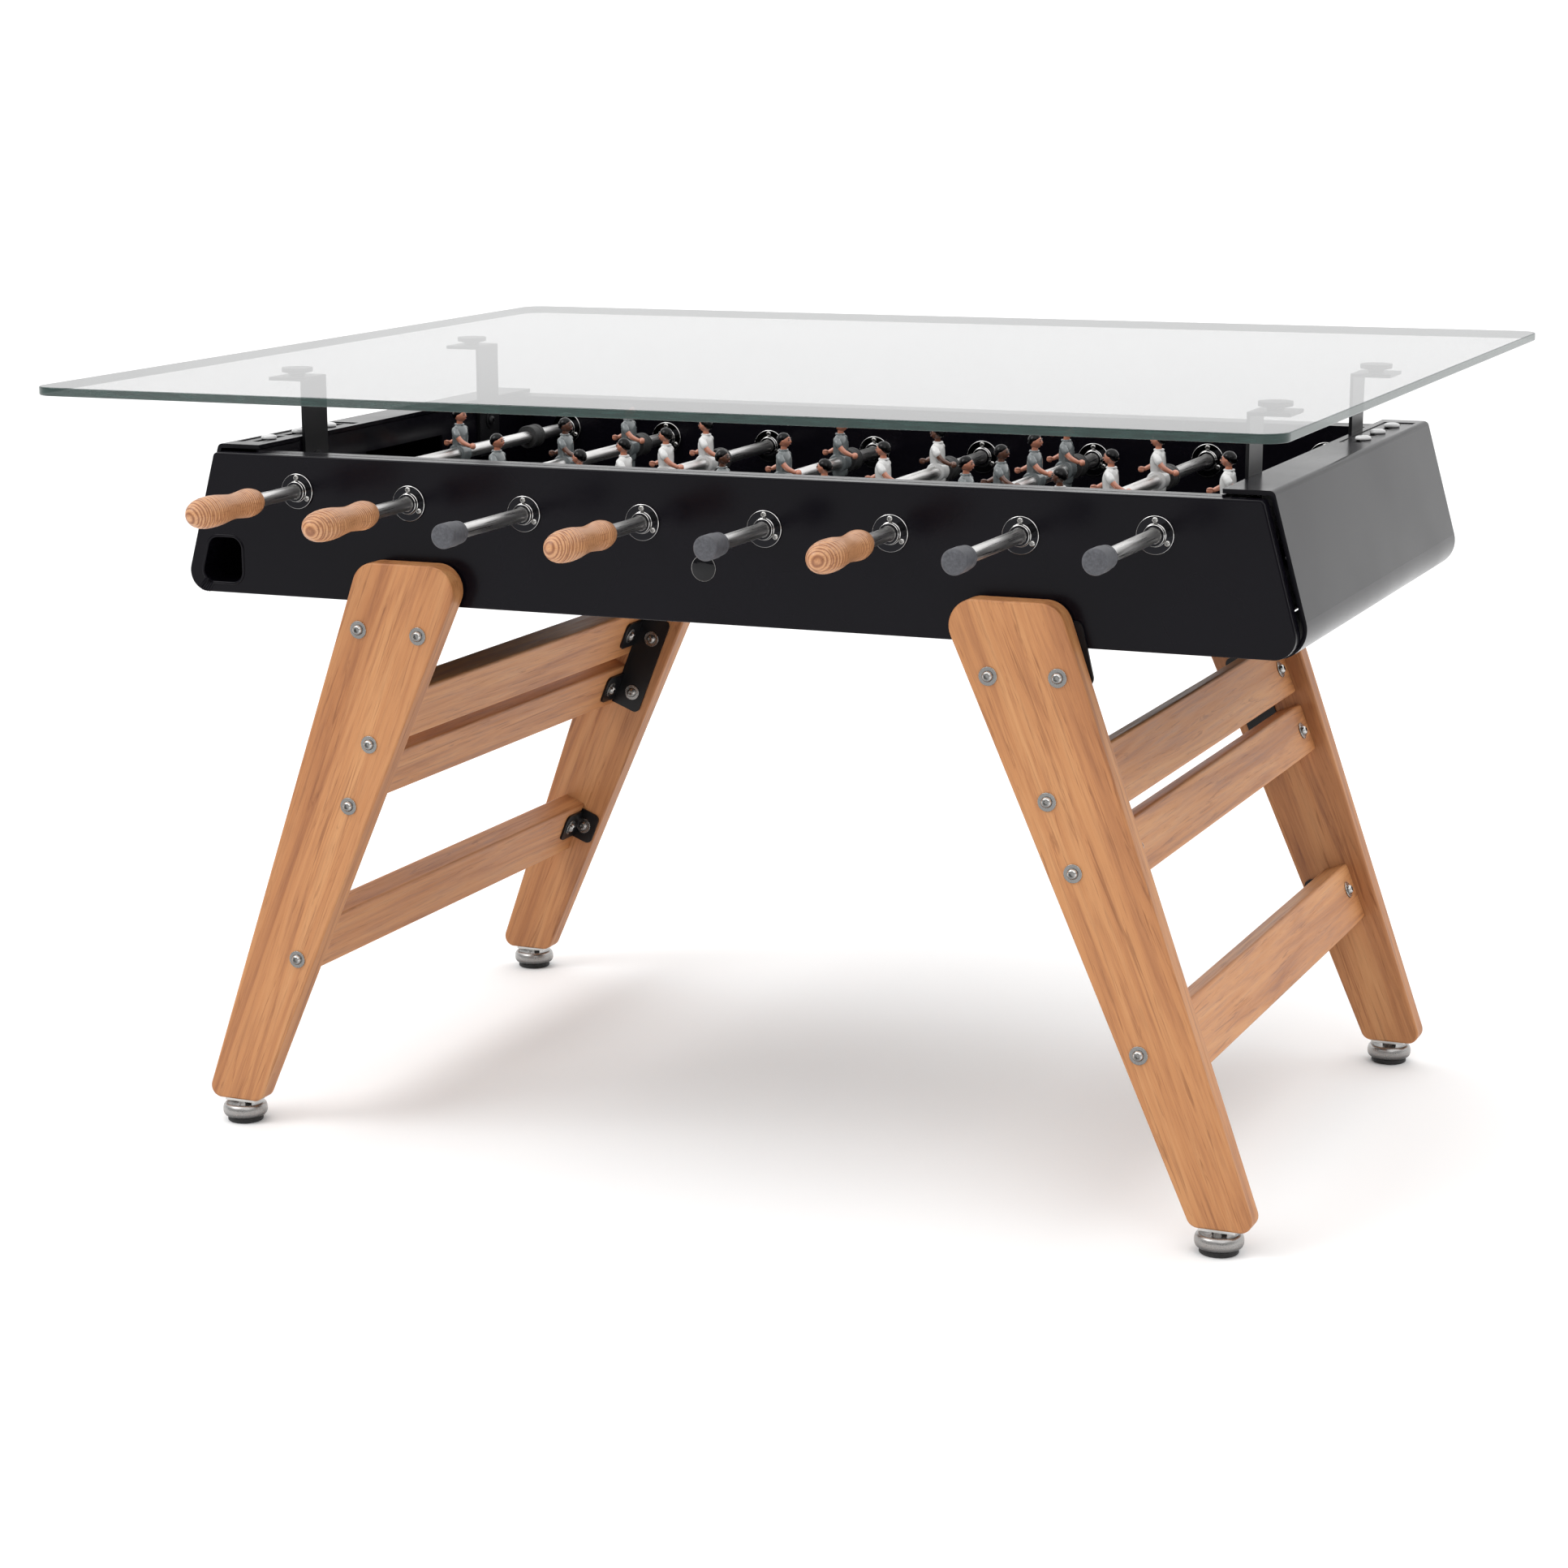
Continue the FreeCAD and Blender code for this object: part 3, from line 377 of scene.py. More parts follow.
# Painted shade: the colours that metal faces turned along Y and faces turned down are darkened towards.
SIDE_PAINTED_SHADE = (0.014, 0.014, 0.016)
UNDERSIDE_PAINTED_SHADE = (0.03, 0.03, 0.032)


def polished(name, color, roughness, along=(1, 1, 1), depth=0.04, across=0.0, below=0.0):
    """Metal with fine lines along one direction; equal scales make it plain polished.

    Faces square to the rods take a painted dark reflection by one share, and faces turned down take
    painted shade by another, standing in for a room that is dark on those sides.
    """
    made, tree, shader = material(name, color, roughness, metallic=1.0)
    lines = noise(tree, place_of(tree, scale=along), 900, detail=3)
    stain = noise(tree, place_of(tree), 25, detail=3)
    dark = tuple(0.86 * c for c in color)
    tint = mix(tree, span(tree, stain, 0, 1, 0.35, 0.7), color, dark)
    # Painted shade and painted reflection: colour darkens by the face's normal, along Y and turned down.
    if across or below:
        normal = node(tree, "ShaderNodeNewGeometry").outputs["Normal"]
        parts = node(tree, "ShaderNodeSeparateXYZ", {"Vector": normal})
        square = math_of(tree, "ABSOLUTE", parts.outputs["Y"])
        tint = mix(tree, span(tree, square, 0, across, 0.86, 0.97), tint, SIDE_PAINTED_SHADE)
        tint = mix(tree, span(tree, parts.outputs["Z"], below, 0, -0.5, 0.1), tint, UNDERSIDE_PAINTED_SHADE)
    wire(tree, shader, tint, span(tree, lines, roughness * 0.75, roughness * 1.4, 0.3, 0.7))
    bump(tree, shader, lines, depth, 0.0002)
    return made


PALE_TEAK, MID_TEAK, DARK_TEAK = (0.56, 0.270, 0.110), (0.49, 0.213, 0.079), (0.345, 0.135, 0.050)
PLAIN = (1, 1, 1)


def wood(name, turn, tone=1.0, shift=0.0):
    """Oiled teak with its grain along the turned Z axis: broad bands, dark veins, streaks and pores."""
    made, tree, shader = material(name, (0.56, 0.25, 0.10), 0.5)
    grain = place_of(tree, scale=(1, 1, 0.045), turn=turn)
    pores = place_of(tree, scale=(1, 1, 0.02), turn=turn)
    away = (shift, shift * 0.7, shift * 0.3)
    wide = node(tree, "ShaderNodeVectorMath", {0: grain, 1: away}).outputs["Vector"]
    sway = noise(tree, wide, 9, detail=3, distortion=0.6)
    bands = noise(tree, wide, 42, detail=5, roughness=0.62, distortion=1.1)
    veins = noise(tree, wide, 120, detail=4, roughness=0.7, distortion=1.6)
    streaks = noise(tree, wide, 260, detail=4, roughness=0.6)
    flecks = noise(tree, pores, 900, detail=2)
    tint = [tuple(tone * c for c in color) for color in (PALE_TEAK, MID_TEAK, DARK_TEAK)]
    body = ramp(tree, bands, [(0.32, tint[0]), (0.50, tint[1]), (0.68, tint[2])])
    vein = ramp(tree, veins, [(0.34, (0.50, 0.40, 0.33)), (0.43, PLAIN)])
    body = mix(tree, 0.6, body, vein, "MULTIPLY")
    deep = ramp(tree, streaks, [(0.32, (0.72, 0.66, 0.61)), (0.50, PLAIN), (0.72, (1.0, 0.99, 0.97))])
    body = mix(tree, 0.6, body, deep, "MULTIPLY")
    warm = ramp(tree, sway, [(0.3, (0.80, 0.72, 0.64)), (0.52, PLAIN), (0.75, (1.0, 1.0, 0.98))])
    body = mix(tree, 0.9, body, warm, "MULTIPLY")
    pits = ramp(tree, flecks, [(0.27, (0.58, 0.47, 0.38)), (0.36, PLAIN)])
    body = mix(tree, 0.6, body, pits, "MULTIPLY")
    wire(tree, shader, body, span(tree, streaks, 0.42, 0.60, 0.3, 0.7))
    bump(tree, shader, mix(tree, 0.5, streaks, flecks), 0.22, 0.0004)
    return made


def turned_wood(name):
    """A handle cut across the rings of the log, so that they show as loops round its axis."""
    made, tree, shader = material(name, (0.48, 0.24, 0.12), 0.42, coat=0.15)
    own = node(tree, "ShaderNodeObjectInfo").outputs["Random"]
    offset = {"X": span(tree, own, -0.012, 0.012), "Y": span(tree, own, 0.01, -0.01),
              "Z": span(tree, own, 0.0, 0.6)}
    drift = node(tree, "ShaderNodeCombineXYZ", offset).outputs["Vector"]
    place = place_of(tree, scale=(0.45, 0.3, 1), turn=(0.22, 0.14, 0))
    here = node(tree, "ShaderNodeVectorMath", {0: place, 1: drift}).outputs["Vector"]
    waves = {"Vector": here, "Scale": 88, "Distortion": 2.6, "Detail": 3, "Detail Scale": 0.9,
             "Detail Roughness": 0.6}
    rings = node(tree, "ShaderNodeTexWave", waves, wave_type="BANDS", bands_direction="Z").outputs["Fac"]
    fibre = noise(tree, place_of(tree, scale=(1, 1, 0.05)), 700, detail=3)
    body = ramp(tree, rings, [(0.0, (0.26, 0.098, 0.038)), (0.35, (0.43, 0.195, 0.085)),
                              (0.8, (0.55, 0.28, 0.132))])
    pits = ramp(tree, fibre, [(0.34, (0.62, 0.52, 0.45)), (0.46, PLAIN)])
    wire(tree, shader, mix(tree, 0.6, body, pits, "MULTIPLY"), span(tree, rings, 0.5, 0.36))
    bump(tree, shader, mix(tree, 0.4, rings, fibre), 0.16, 0.0004)
    return made


def rubber(name, color, roughness=0.62):
    """Moulded rubber, dusty and slightly mottled."""
    made, tree, shader = material(name, color, roughness)
    where = place_of(tree)
    mottle = noise(tree, where, 230, detail=6, roughness=0.75)
    pale = tuple(c * 2.4 + 0.012 for c in color)
    tint = mix(tree, span(tree, mottle, 0, 1, 0.35, 0.75), color, pale)
    wire(tree, shader, tint, span(tree, mottle, roughness - 0.12, roughness + 0.12, 0.3, 0.7))
    bump(tree, shader, noise(tree, where, 1500), 0.25, 0.0003)
    return made


def enamel(name, color, roughness=0.12, wear=0.75, coat=0.5, specular=0.5):
    """Glossy paint brushed on a casting, a little uneven and thinner in places."""
    made, tree, shader = material(name, color, roughness, coat=coat, specular=specular)
    where = place_of(tree)
    uneven = noise(tree, where, 130, detail=3)
    dark = tuple(wear * c for c in color)
    tint = mix(tree, span(tree, uneven, 0, 1, 0.45, 0.8), color, dark)
    wire(tree, shader, tint, span(tree, uneven, roughness * 0.8, roughness * 1.9, 0.3, 0.7))
    bump(tree, shader, noise(tree, where, 340, detail=2), 0.12, 0.0006)
    return made


# How much of the pane shows, from seen square on (0) to seen edge on (1).
PANE_COVER = [(0.0, 0.07), (0.45, 0.16), (0.66, 0.48), (0.76, 0.73), (0.88, 0.79), (1.0, 0.83)]
COVER_BELOW, COVER_EDGE = 0.06, 0.96


def table_glass():
    """A thick clear pane: a mirror at a low angle from above, clear otherwise, with green ground edges."""
    made, tree, shader = material("clear_glass", (0.9, 0.9, 0.91), 0.03, metallic=1.0)
    facing = node(tree, "ShaderNodeLayerWeight", {"Blend": 0.5}).outputs["Facing"]
    geometry = node(tree, "ShaderNodeNewGeometry")
    upright = node(tree, "ShaderNodeSeparateXYZ", {"Vector": geometry.outputs["Normal"]}).outputs["Z"]
    face = span(tree, math_of(tree, "ABSOLUTE", upright), 0, 1, 0.80, 0.95)
    cast = noise(tree, place_of(tree), 3, detail=2)
    ground = noise(tree, place_of(tree, scale=(1, 1, 8)), 60, detail=3)
    sheet = mix(tree, cast, (0.150, 0.153, 0.158), (0.165, 0.168, 0.174))
    edge = mix(tree, span(tree, ground, 0, 1, 0.3, 0.7), (0.006, 0.022, 0.019), (0.016, 0.044, 0.038))
    curve = node(tree, "ShaderNodeFloatCurve", {"Value": facing})
    points = curve.mapping.curves[0].points
    points[0].location, points[-1].location = PANE_COVER[0], PANE_COVER[-1]
    for place, value in PANE_COVER[1:-1]:
        points.new(place, value)
    curve.mapping.update()
    above = math_of(tree, "GREATER_THAN", upright, 0.0)
    outer = math_of(tree, "SUBTRACT", above, geometry.outputs["Backfacing"], use_clamp=True)
    seen = node(tree, "ShaderNodeMix", {0: outer, 2: COVER_BELOW, 3: curve.outputs["Value"]},
                data_type="FLOAT")
    cover = node(tree, "ShaderNodeMix", {0: face, 2: COVER_EDGE, 3: seen.outputs[0]}, data_type="FLOAT")
    wire(tree, shader, mix(tree, face, edge, sheet), span(tree, face, 0.12, 0.015),
         Alpha=cover.outputs[0], Metallic=span(tree, face, 0.0, 1.0))
    return made


LEAN = math.radians(21.8)  # how far each leg leans outward
FOOT_PLATE_TOP = 0.0302    # just over the bare steel plates under the legs, in metres
BLACK = powder_coat("black_powder_coat", (0.0022, 0.0018, 0.0036), 0.20, specular=0.12)
FIELD = powder_coat("field_coat", (0.009, 0.010, 0.011), 0.38)
BRACKET = powder_coat("bracket_coat", (0.006, 0.006, 0.007), 0.30, specular=0.2, steel_below=FOOT_PLATE_TOP)
# across and below set how much painted shade each metal takes on faces along Y and faces turned down.
CHROME = polished("chrome", (0.80, 0.79, 0.78), 0.05, depth=0.01, across=1.0, below=0.6)
STAINLESS = polished("stainless", (0.60, 0.59, 0.57), 0.24, across=0.62, below=0.6)
ROD_STEEL = polished("rod_steel", (0.80, 0.79, 0.78), 0.32, along=(1, 0.02, 1), depth=0.05, below=0.4)
SATIN = polished("satin_steel", (0.40, 0.39, 0.38), 0.30, depth=0.08, below=0.75)
TEAK_LEFT = wood("teak_left", (0, -LEAN, 0))
TEAK_RIGHT = wood("teak_right", (0, LEAN, 0), shift=3.1)
TEAK_RAIL = wood("teak_rail", (math.pi / 2, 0, 0), tone=1.08, shift=7.7)
HANDLE_WOOD = turned_wood("turned_wood")
RUBBER = rubber("black_rubber", (0.040, 0.041, 0.047))
SOLE = rubber("sole_rubber", (0.012, 0.012, 0.012))
GREY_PAINT = enamel("grey_paint", (0.155, 0.175, 0.18))
WHITE_PAINT = enamel("white_paint", (0.74, 0.74, 0.73), wear=0.9)
HAIR = enamel("hair_paint", (0.0015, 0.0015, 0.002), roughness=0.05, coat=0.0, specular=0.22)
LIGHT_SKIN = enamel("light_skin_paint", (0.56, 0.225, 0.14))
DARK_SKIN = enamel("dark_skin_paint", (0.125, 0.05, 0.03))
EYE = enamel("eye_paint", (0.004, 0.004, 0.005), roughness=0.2)
LIPS = enamel("lip_paint", (0.30, 0.07, 0.055), roughness=0.2)
KNOB = enamel("knob_gloss", (0.62, 0.62, 0.62), wear=0.92)
BADGE = enamel("badge_resin", (0.004, 0.004, 0.005), roughness=0.05, coat=0.0, specular=0.25)
GLASS = table_glass()


def finish_node(finish, *names):
    """Give CAD nodes their material."""
    for name in names:
        thing = frame["nodes"][name]
        if not thing.material_slots:
            thing.data.materials.append(finish)
        for slot in thing.material_slots:
            slot.material = finish


finish_node(BLACK, "front_side_panel", "back_side_panel", "left_end_cap", "right_end_cap", "inner_walls",
            "base_pan", "score_plates")
finish_node(FIELD, "playfield")
finish_node(BRACKET, "leg_brackets", "glass_supports")
finish_node(GLASS, "glass_top")
finish_node(TEAK_LEFT, "leg_front_left", "leg_back_left")
finish_node(TEAK_RIGHT, "leg_front_right", "leg_back_right")
finish_node(TEAK_RAIL, "rails")
finish_node(ROD_STEEL, *[f"rod_{k}" for k in RODS])


# ------ places

def rod_axis(k):
    """Where a rod runs, along and up, in metres."""
    along, _, up = JOINTS[f"rod_{k}_spin"]["pos_m"]
    return along, up


def middle(node_name):
    """The middle of a CAD node's box."""
    low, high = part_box(node_name)
    return (low + high) / 2


def handle_way(k):
    """-1 where rod k has its handle at the front, 1 at the back."""
    return -1 if middle(f"handle_{k}").y < middle(f"rod_{k}").y else 1


def facing(z_way, x_way, at):
    """A matrix whose +Z and +X point the given ways, at a place."""
    z, x = z_way.normalized(), x_way.normalized()
    y = z.cross(x)
    turn = Matrix((x, y, z)).transposed().to_4x4()
    return Matrix.Translation(at) @ turn


def islands(node_name):
    """The separate solids of a CAD node, each a list of points."""
    mesh = frame["nodes"][node_name].data
    parent = list(range(len(mesh.vertices)))

    def root(v):
        while parent[v] != v:
            parent[v] = parent[parent[v]]
            v = parent[v]
        return v

    merged = {}
    for vertex in mesh.vertices:
        key = tuple(round(c, 5) for c in vertex.co)
        other = merged.setdefault(key, vertex.index)
        parent[root(vertex.index)] = root(other)
    for polygon in mesh.polygons:
        first = root(polygon.vertices[0])
        for v in polygon.vertices[1:]:
            parent[root(v)] = first
            first = root(first)
    groups = {}
    for vertex in mesh.vertices:
        groups.setdefault(root(vertex.index), []).append(vertex.co.copy())
    return list(groups.values())


# ------ bearings and their screws

BORE, SLEEVE, HUB, FLANGE_RIM = 8.08, 11, 12, 21  # radii of a bearing
SLEEVE_DEEP, FLANGE, HUB_TALL = 4.8, 3.0, 8       # its heights below and above the panel's face
SCREW_CIRCLE = 16.3                               # the radius on which its three screws stand
SCREW_HEAD, SCREW_SHANK = 3.6, 1.6                # radii of a screw
SCREW_HIGH, SCREW_DEEP = 2.5, 5.8                 # its heights above and below the flange


def bearing_mesh():
    """A flanged bush: sleeve, flange, hub and bore, with eased rims."""
    loop = [(BORE, -SLEEVE_DEEP), (SLEEVE, -SLEEVE_DEEP), (SLEEVE, 0), (FLANGE_RIM, 0), (FLANGE_RIM, FLANGE),
            (HUB, FLANGE), (HUB, HUB_TALL), (BORE, HUB_TALL)]
    return new_mesh("bearing", *closed_lathe(eased(loop, 1.2, 6, loop=True), 72), sharp=30)


SOCKET_WIDE, SOCKET_DEEP = 0.42, 0.55  # a socket's size in shares of its head's radius and height


def socket_head(radius, height, sides=32):
    """A button head with a six-sided socket, standing on height 0."""
    key = radius * SOCKET_WIDE
    dome = [(radius, 0), (radius, 0.12 * height), (radius * 0.97, 0.35 * height),
            (radius * 0.86, 0.68 * height), (radius * 0.68, 0.92 * height), (key * 1.28, height),
            (key * 1.12, height)]
    verts, faces = lathe([(0, 0)] + dome, sides)
    top = len(verts) - sides
    for level in (height, height * (1 - SOCKET_DEEP)):
        for a in around(sides):
            hexed = key / max(math.cos((a % (math.pi / 3)) - math.pi / 6), 0.5) * 0.94
            verts.append((hexed * math.cos(a), hexed * math.sin(a), level))
    verts.append((0, 0, height * (1 - SOCKET_DEEP)))
    for n in range(sides):
        m = (n + 1) % sides
        faces.append((top + n, top + m, top + sides + m, top + sides + n))
        faces.append((top + sides + n, top + sides + m, top + 2 * sides + m, top + 2 * sides + n))
        faces.append((top + 2 * sides + n, top + 2 * sides + m, len(verts) - 1))
    return verts, faces


FIELD_GAP = 0.3  # between the field's edge and the long inner wall


def bearing_faces():
    """The place across the table and the outward way of each of the four rows of bearings."""
    wall = abs(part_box("playfield")[0].y) + FIELD_GAP * MM
    panel = abs(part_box("front_side_panel")[0].y)
    return [(-panel, -1), (-wall, 1), (wall, -1), (panel, 1)]


def bearings():
    """Four bearings to a rod, each with three screws, which one piece holds."""
    ring = bearing_mesh()
    head = socket_head(SCREW_HEAD, SCREW_HIGH, sides=24)
    shank = lathe([(0, -SCREW_DEEP), (SCREW_SHANK, -SCREW_DEEP), (SCREW_SHANK, 0)], 12)
    screws = []
    for k in RODS:
        along, up = rod_axis(k)
        for n, (across, way) in enumerate(bearing_faces()):
            matrix = facing(Y_AXIS * way, X_AXIS * -way, (along, across, up))
            stands_for = ("bearings",) if (k, n) == (1, 0) else ()
            piece(f"bearing_{k}_{n + 1}", ring, "table", [CHROME], matrix, stands_for)
            for angle in (90, 210, 330):
                a = math.radians(angle)
                spot = Vector((along / MM + SCREW_CIRCLE * math.cos(a), across / MM + way * FLANGE,
                               up / MM + SCREW_CIRCLE * math.sin(a)))
                turn = facing(Y_AXIS * way, X_AXIS * -way, spot) @ Matrix.Rotation(RNG.uniform(0, 1), 4, "Z")
                screws += [moved(head, turn), moved(shank, turn)]
    piece("bearing_screws", gather(screws, "bearing_screws"), "table", [STAINLESS],
          stands_for=("fasteners",))


bearings()


# ------ bolts

SHANK, WASHER_BORE, WASHER, WASHER_THICK = 4, 4.1, 10.5, 1.6  # radii of a bolt's shank and washer
HEAD, HEAD_HIGH = 6.4, 4.6
CAD_HEAD_TALL, CAD_NUT_TALL = 5.8, 8.0  # what the CAD bolts have at their two ends
SCREW_REACH = 9 * MM                    # a fastener that reaches less than this is a bearing's screw
LONG_ACROSS = 30 * MM                   # a bolt that spans more than this in Y runs along Y
POST_BOLT_TALL = 24 * MM                # a bolt lower than this otherwise lies level, in an end wall
RIM_BAND = 0.2 * MM


def washer():
    """A flat ring with eased edges."""
    loop = [(WASHER_BORE, 0), (WASHER, 0), (WASHER, WASHER_THICK), (WASHER_BORE, WASHER_THICK)]
    return closed_lathe(eased(loop, 0.4, 3, loop=True), 40)


def bolt_parts(turn, length, number):
    """A washer and button head at both ends of a shank; the head end is at the matrix's origin."""
    parts = []
    flip = turn @ Matrix.Translation((0, 0, -length)) @ Matrix.Rotation(math.pi, 4, "X")
    for end in (turn, flip):
        spin = end @ Matrix.Rotation(RNG.uniform(0, 1), 4, "Z")
        above = spin @ Matrix.Translation((0, 0, WASHER_THICK))
        parts += [moved(washer(), spin, number), moved(socket_head(HEAD, HEAD_HIGH), above, number)]
    shank = lathe([(0, -length), (SHANK, -length), (SHANK, WASHER_THICK), (0, WASHER_THICK)], 20)
    return parts + [moved(shank, turn, number)]


def bolts():
    """Every CAD bolt, found among the fasteners by its length, with a proper head at each end.

    The bolts that hold the glass posts are black.
    """
    parts = []
    for points in islands("fasteners"):
        centre = sum(points, Vector()) / len(points)
        far = max(points, key=lambda p: (p - centre).length)
        if (far - centre).length < SCREW_REACH:
            continue
        axis = bolt_axis(points)
        number = 1 if abs(axis.x) > 0.99 else 0
        heights = [(p - centre).dot(axis) for p in points]
        offsets = [((p - centre) - axis * (p - centre).dot(axis)).length for p in points]
        rim = max(offsets)
        rim_height = sum(h for h, r in zip(heights, offsets) if r > rim - RIM_BAND)
        if rim_height < 0:
            axis = -axis
            heights = [-h for h in heights]
        top, low = max(heights), min(heights)
        grip = (top - low) / MM - CAD_HEAD_TALL - CAD_NUT_TALL
        seat = centre + axis * (top - CAD_HEAD_TALL * MM)
        turn = facing(axis, axis.orthogonal(), seat / MM)
        parts += bolt_parts(turn, grip, number)
    piece("frame_bolts", gather(parts, "frame_bolts"), "table", [STAINLESS, BRACKET])


def bolt_axis(points):
    """The way a bolt points: across the table, or square to a leaning rail or an end wall."""
    low = Vector([min(p[i] for p in points) for i in range(3)])
    high = Vector([max(p[i] for p in points) for i in range(3)])
    size, centre = high - low, (high + low) / 2
    if size.y > LONG_ACROSS:
        return Y_AXIS.copy()
    if size.z < POST_BOLT_TALL:
        return X_AXIS.copy()
    side = math.copysign(1, centre.x)
    return Vector((side * math.cos(LEAN), 0, math.sin(LEAN)))


bolts()


# ------ rods' ends

def curve_value(knots, at):
    """A smooth value through (place, value) knots, with slopes taken from each knot's neighbours."""
    def slope(k):
        before, after = knots[max(k - 1, 0)], knots[min(k + 1, len(knots) - 1)]
        return (after[1] - before[1]) / (after[0] - before[0])
    for k, ((a, va), (b, vb)) in enumerate(zip(knots, knots[1:])):
        if a <= at <= b:
            wide = b - a
            t = (at - a) / wide
            return ((2 * t ** 3 - 3 * t ** 2 + 1) * va + (t ** 3 - 2 * t ** 2 + t) * wide * slope(k)
                    + (3 * t ** 2 - 2 * t ** 3) * vb + (t ** 3 - t ** 2) * wide * slope(k + 1))
    return knots[-1][1]


ROD_BORE = 8.1               # the radius of the hole that each rubber piece and handle has for its rod
HANDLE_LONG, HANDLE_STEPS = 138, 185
HANDLE_END, HANDLE_EDGE = 11.6, 3  # the flat of a handle's inner end and the rounding about it
HANDLE_TURN = 1.7            # each handle is turned this much further than the one before, in radians
HANDLE_SHAPE = [(0, 13.4), (8, 15.6), (18, 16.7), (32, 15.6), (50, 14.5), (68, 15.9), (84, 17.6), (98, 18.1),
                (112, 17.6), (124, 15.4), (131, 12.0), (135.5, 8.0), (HANDLE_LONG, 2.0)]
# The grooves cut in a handle: each one's place along it, depth and half width.
HANDLE_GROOVES = [(26, 0.4, 0.9), (34, 0.45, 0.9), (86, 0.3, 0.8), (93, 0.4, 0.8), (100, 0.55, 0.9),
                  (107, 0.9, 1.2), (115, 1.1, 1.4), (123.5, 1.1, 1.3), (130.5, 0.9, 1.0)]


def handle_mesh():
    """A turned handle from its inner end at 0 to its rounded outer end, with turned grooves."""
    profile = [(0, 0), (ROD_BORE, 0), (HANDLE_END, 0)]
    for n in range(1, HANDLE_STEPS):
        h = HANDLE_LONG * n / HANDLE_STEPS
        radius = curve_value(HANDLE_SHAPE, h)
        for centre, deep, wide in HANDLE_GROOVES:
            radius -= deep * math.exp(-((h - centre) / wide) ** 2)
        if h < HANDLE_EDGE:
            rounded = HANDLE_END + HANDLE_EDGE * math.sqrt(1 - (1 - h / HANDLE_EDGE) ** 2)
            radius = min(radius, rounded)
        profile.append((radius, h))
    profile.append((0, HANDLE_LONG))
    return new_mesh("handle", *lathe(profile, 64), sharp=50)


def tip_mesh():
    """A rubber cap for a rod's plain end, from its open end at 0 to its closed end at 40."""
    profile = [(ROD_BORE, 4), (ROD_BORE, 0), (12.8, 0), (13.2, 7), (12.7, 8.2), (13.2, 9.4), (14, 16),
               (14, 37.4), (11.6, 40), (0, 40)]
    return new_mesh("tip", *lathe(eased(profile, 2.0), 56))


def bumper_mesh():
    """A soft ring that stops a rod's travel, with a shallow waist."""
    loop = [(ROD_BORE, 0), (15, 0), (15, 7.4), (14.2, 8.4), (14.2, 17.6), (15, 18.6), (15, 26),
            (ROD_BORE, 26)]
    return new_mesh("bumper", *closed_lathe(eased(loop, 1.1, loop=True), 48))


TIP_AT_LEAST = 30 * MM  # a rod's rubber tip is longer than this, and its bumper rings are shorter


def rod_ends():
    """The handle, the tip and the two bumpers of each rod."""
    handle, tip, bumper = handle_mesh(), tip_mesh(), bumper_mesh()
    for k in RODS:
        along, up = rod_axis(k)
        way = handle_way(k)
        carriage = f"rod_{k}_carriage"
        low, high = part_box(f"handle_{k}")
        inner = high.y if way < 0 else low.y
        turn = facing(Y_AXIS * way, X_AXIS, (along, inner, up)) @ Matrix.Rotation(HANDLE_TURN * k, 4, "Z")
        piece(f"turned_handle_{k}", handle, f"rod_{k}", [HANDLE_WOOD], turn, (f"handle_{k}",))
        rings = sorted(islands(f"rubbers_{k}"), key=lambda points: sum(p.y for p in points) / len(points))
        for n, points in enumerate(rings, start=1):
            low_y, high_y = min(p.y for p in points), max(p.y for p in points)
            if high_y - low_y > TIP_AT_LEAST:
                turn = facing(Y_AXIS * -way, X_AXIS, (along, high_y if way > 0 else low_y, up))
                piece(f"rubber_tip_{k}", tip, carriage, [RUBBER], turn, (f"rubbers_{k}",))
            else:
                turn = facing(Y_AXIS, -X_AXIS, (along, low_y, up))
                piece(f"bumper_{k}_{n}", bumper, carriage, [SOLE], turn)


rod_ends()


# ------ players

def bump_at(way, target, width):
    """How near a direction is to a target direction, from 0 to 1."""
    return math.exp(-((way - Vector(target).normalized()).length / width) ** 2)


def head_shape(way):
    """A plain head that narrows to the jaw, with a nose, lips, a chin, a brow, eye hollows and ears."""
    scale = 1 - 0.14 * max(0, -way.z) ** 1.5 * (1 - 0.5 * max(0, way.x))
    nose, lips, chin, brow = (1, 0, -0.08), (1, 0, -0.48), (0.85, 0, -0.92), (1, 0, 0.34)
    features = (nose, 0.26, 0.17), (lips, 0.07, 0.20), (chin, 0.10, 0.26), (brow, 0.04, 0.30)
    for target, rise, wide in features:
        scale += rise * bump_at(way, target, wide)
    for side in (-1, 1):
        eye_hollow, ear = (1, 0.38 * side, 0.10), (0.02, side, -0.05)
        scale -= 0.07 * bump_at(way, eye_hollow, 0.17)
        scale += 0.16 * bump_at(way, ear, 0.15)
    return scale


def hair_shape(way):
    """A cap of hair that ends at the brow, over the ears and at the nape."""
    edge = way.z - (0.52 * way.x - 0.06 - 0.30 * max(0, -way.x))
    cover = 1 / (1 + math.exp(-9 * edge))
    waves = 0.014 * math.sin(17 * math.atan2(way.y, way.x) + 5 * way.z) * cover
    return 0.84 + 0.23 * cover + waves


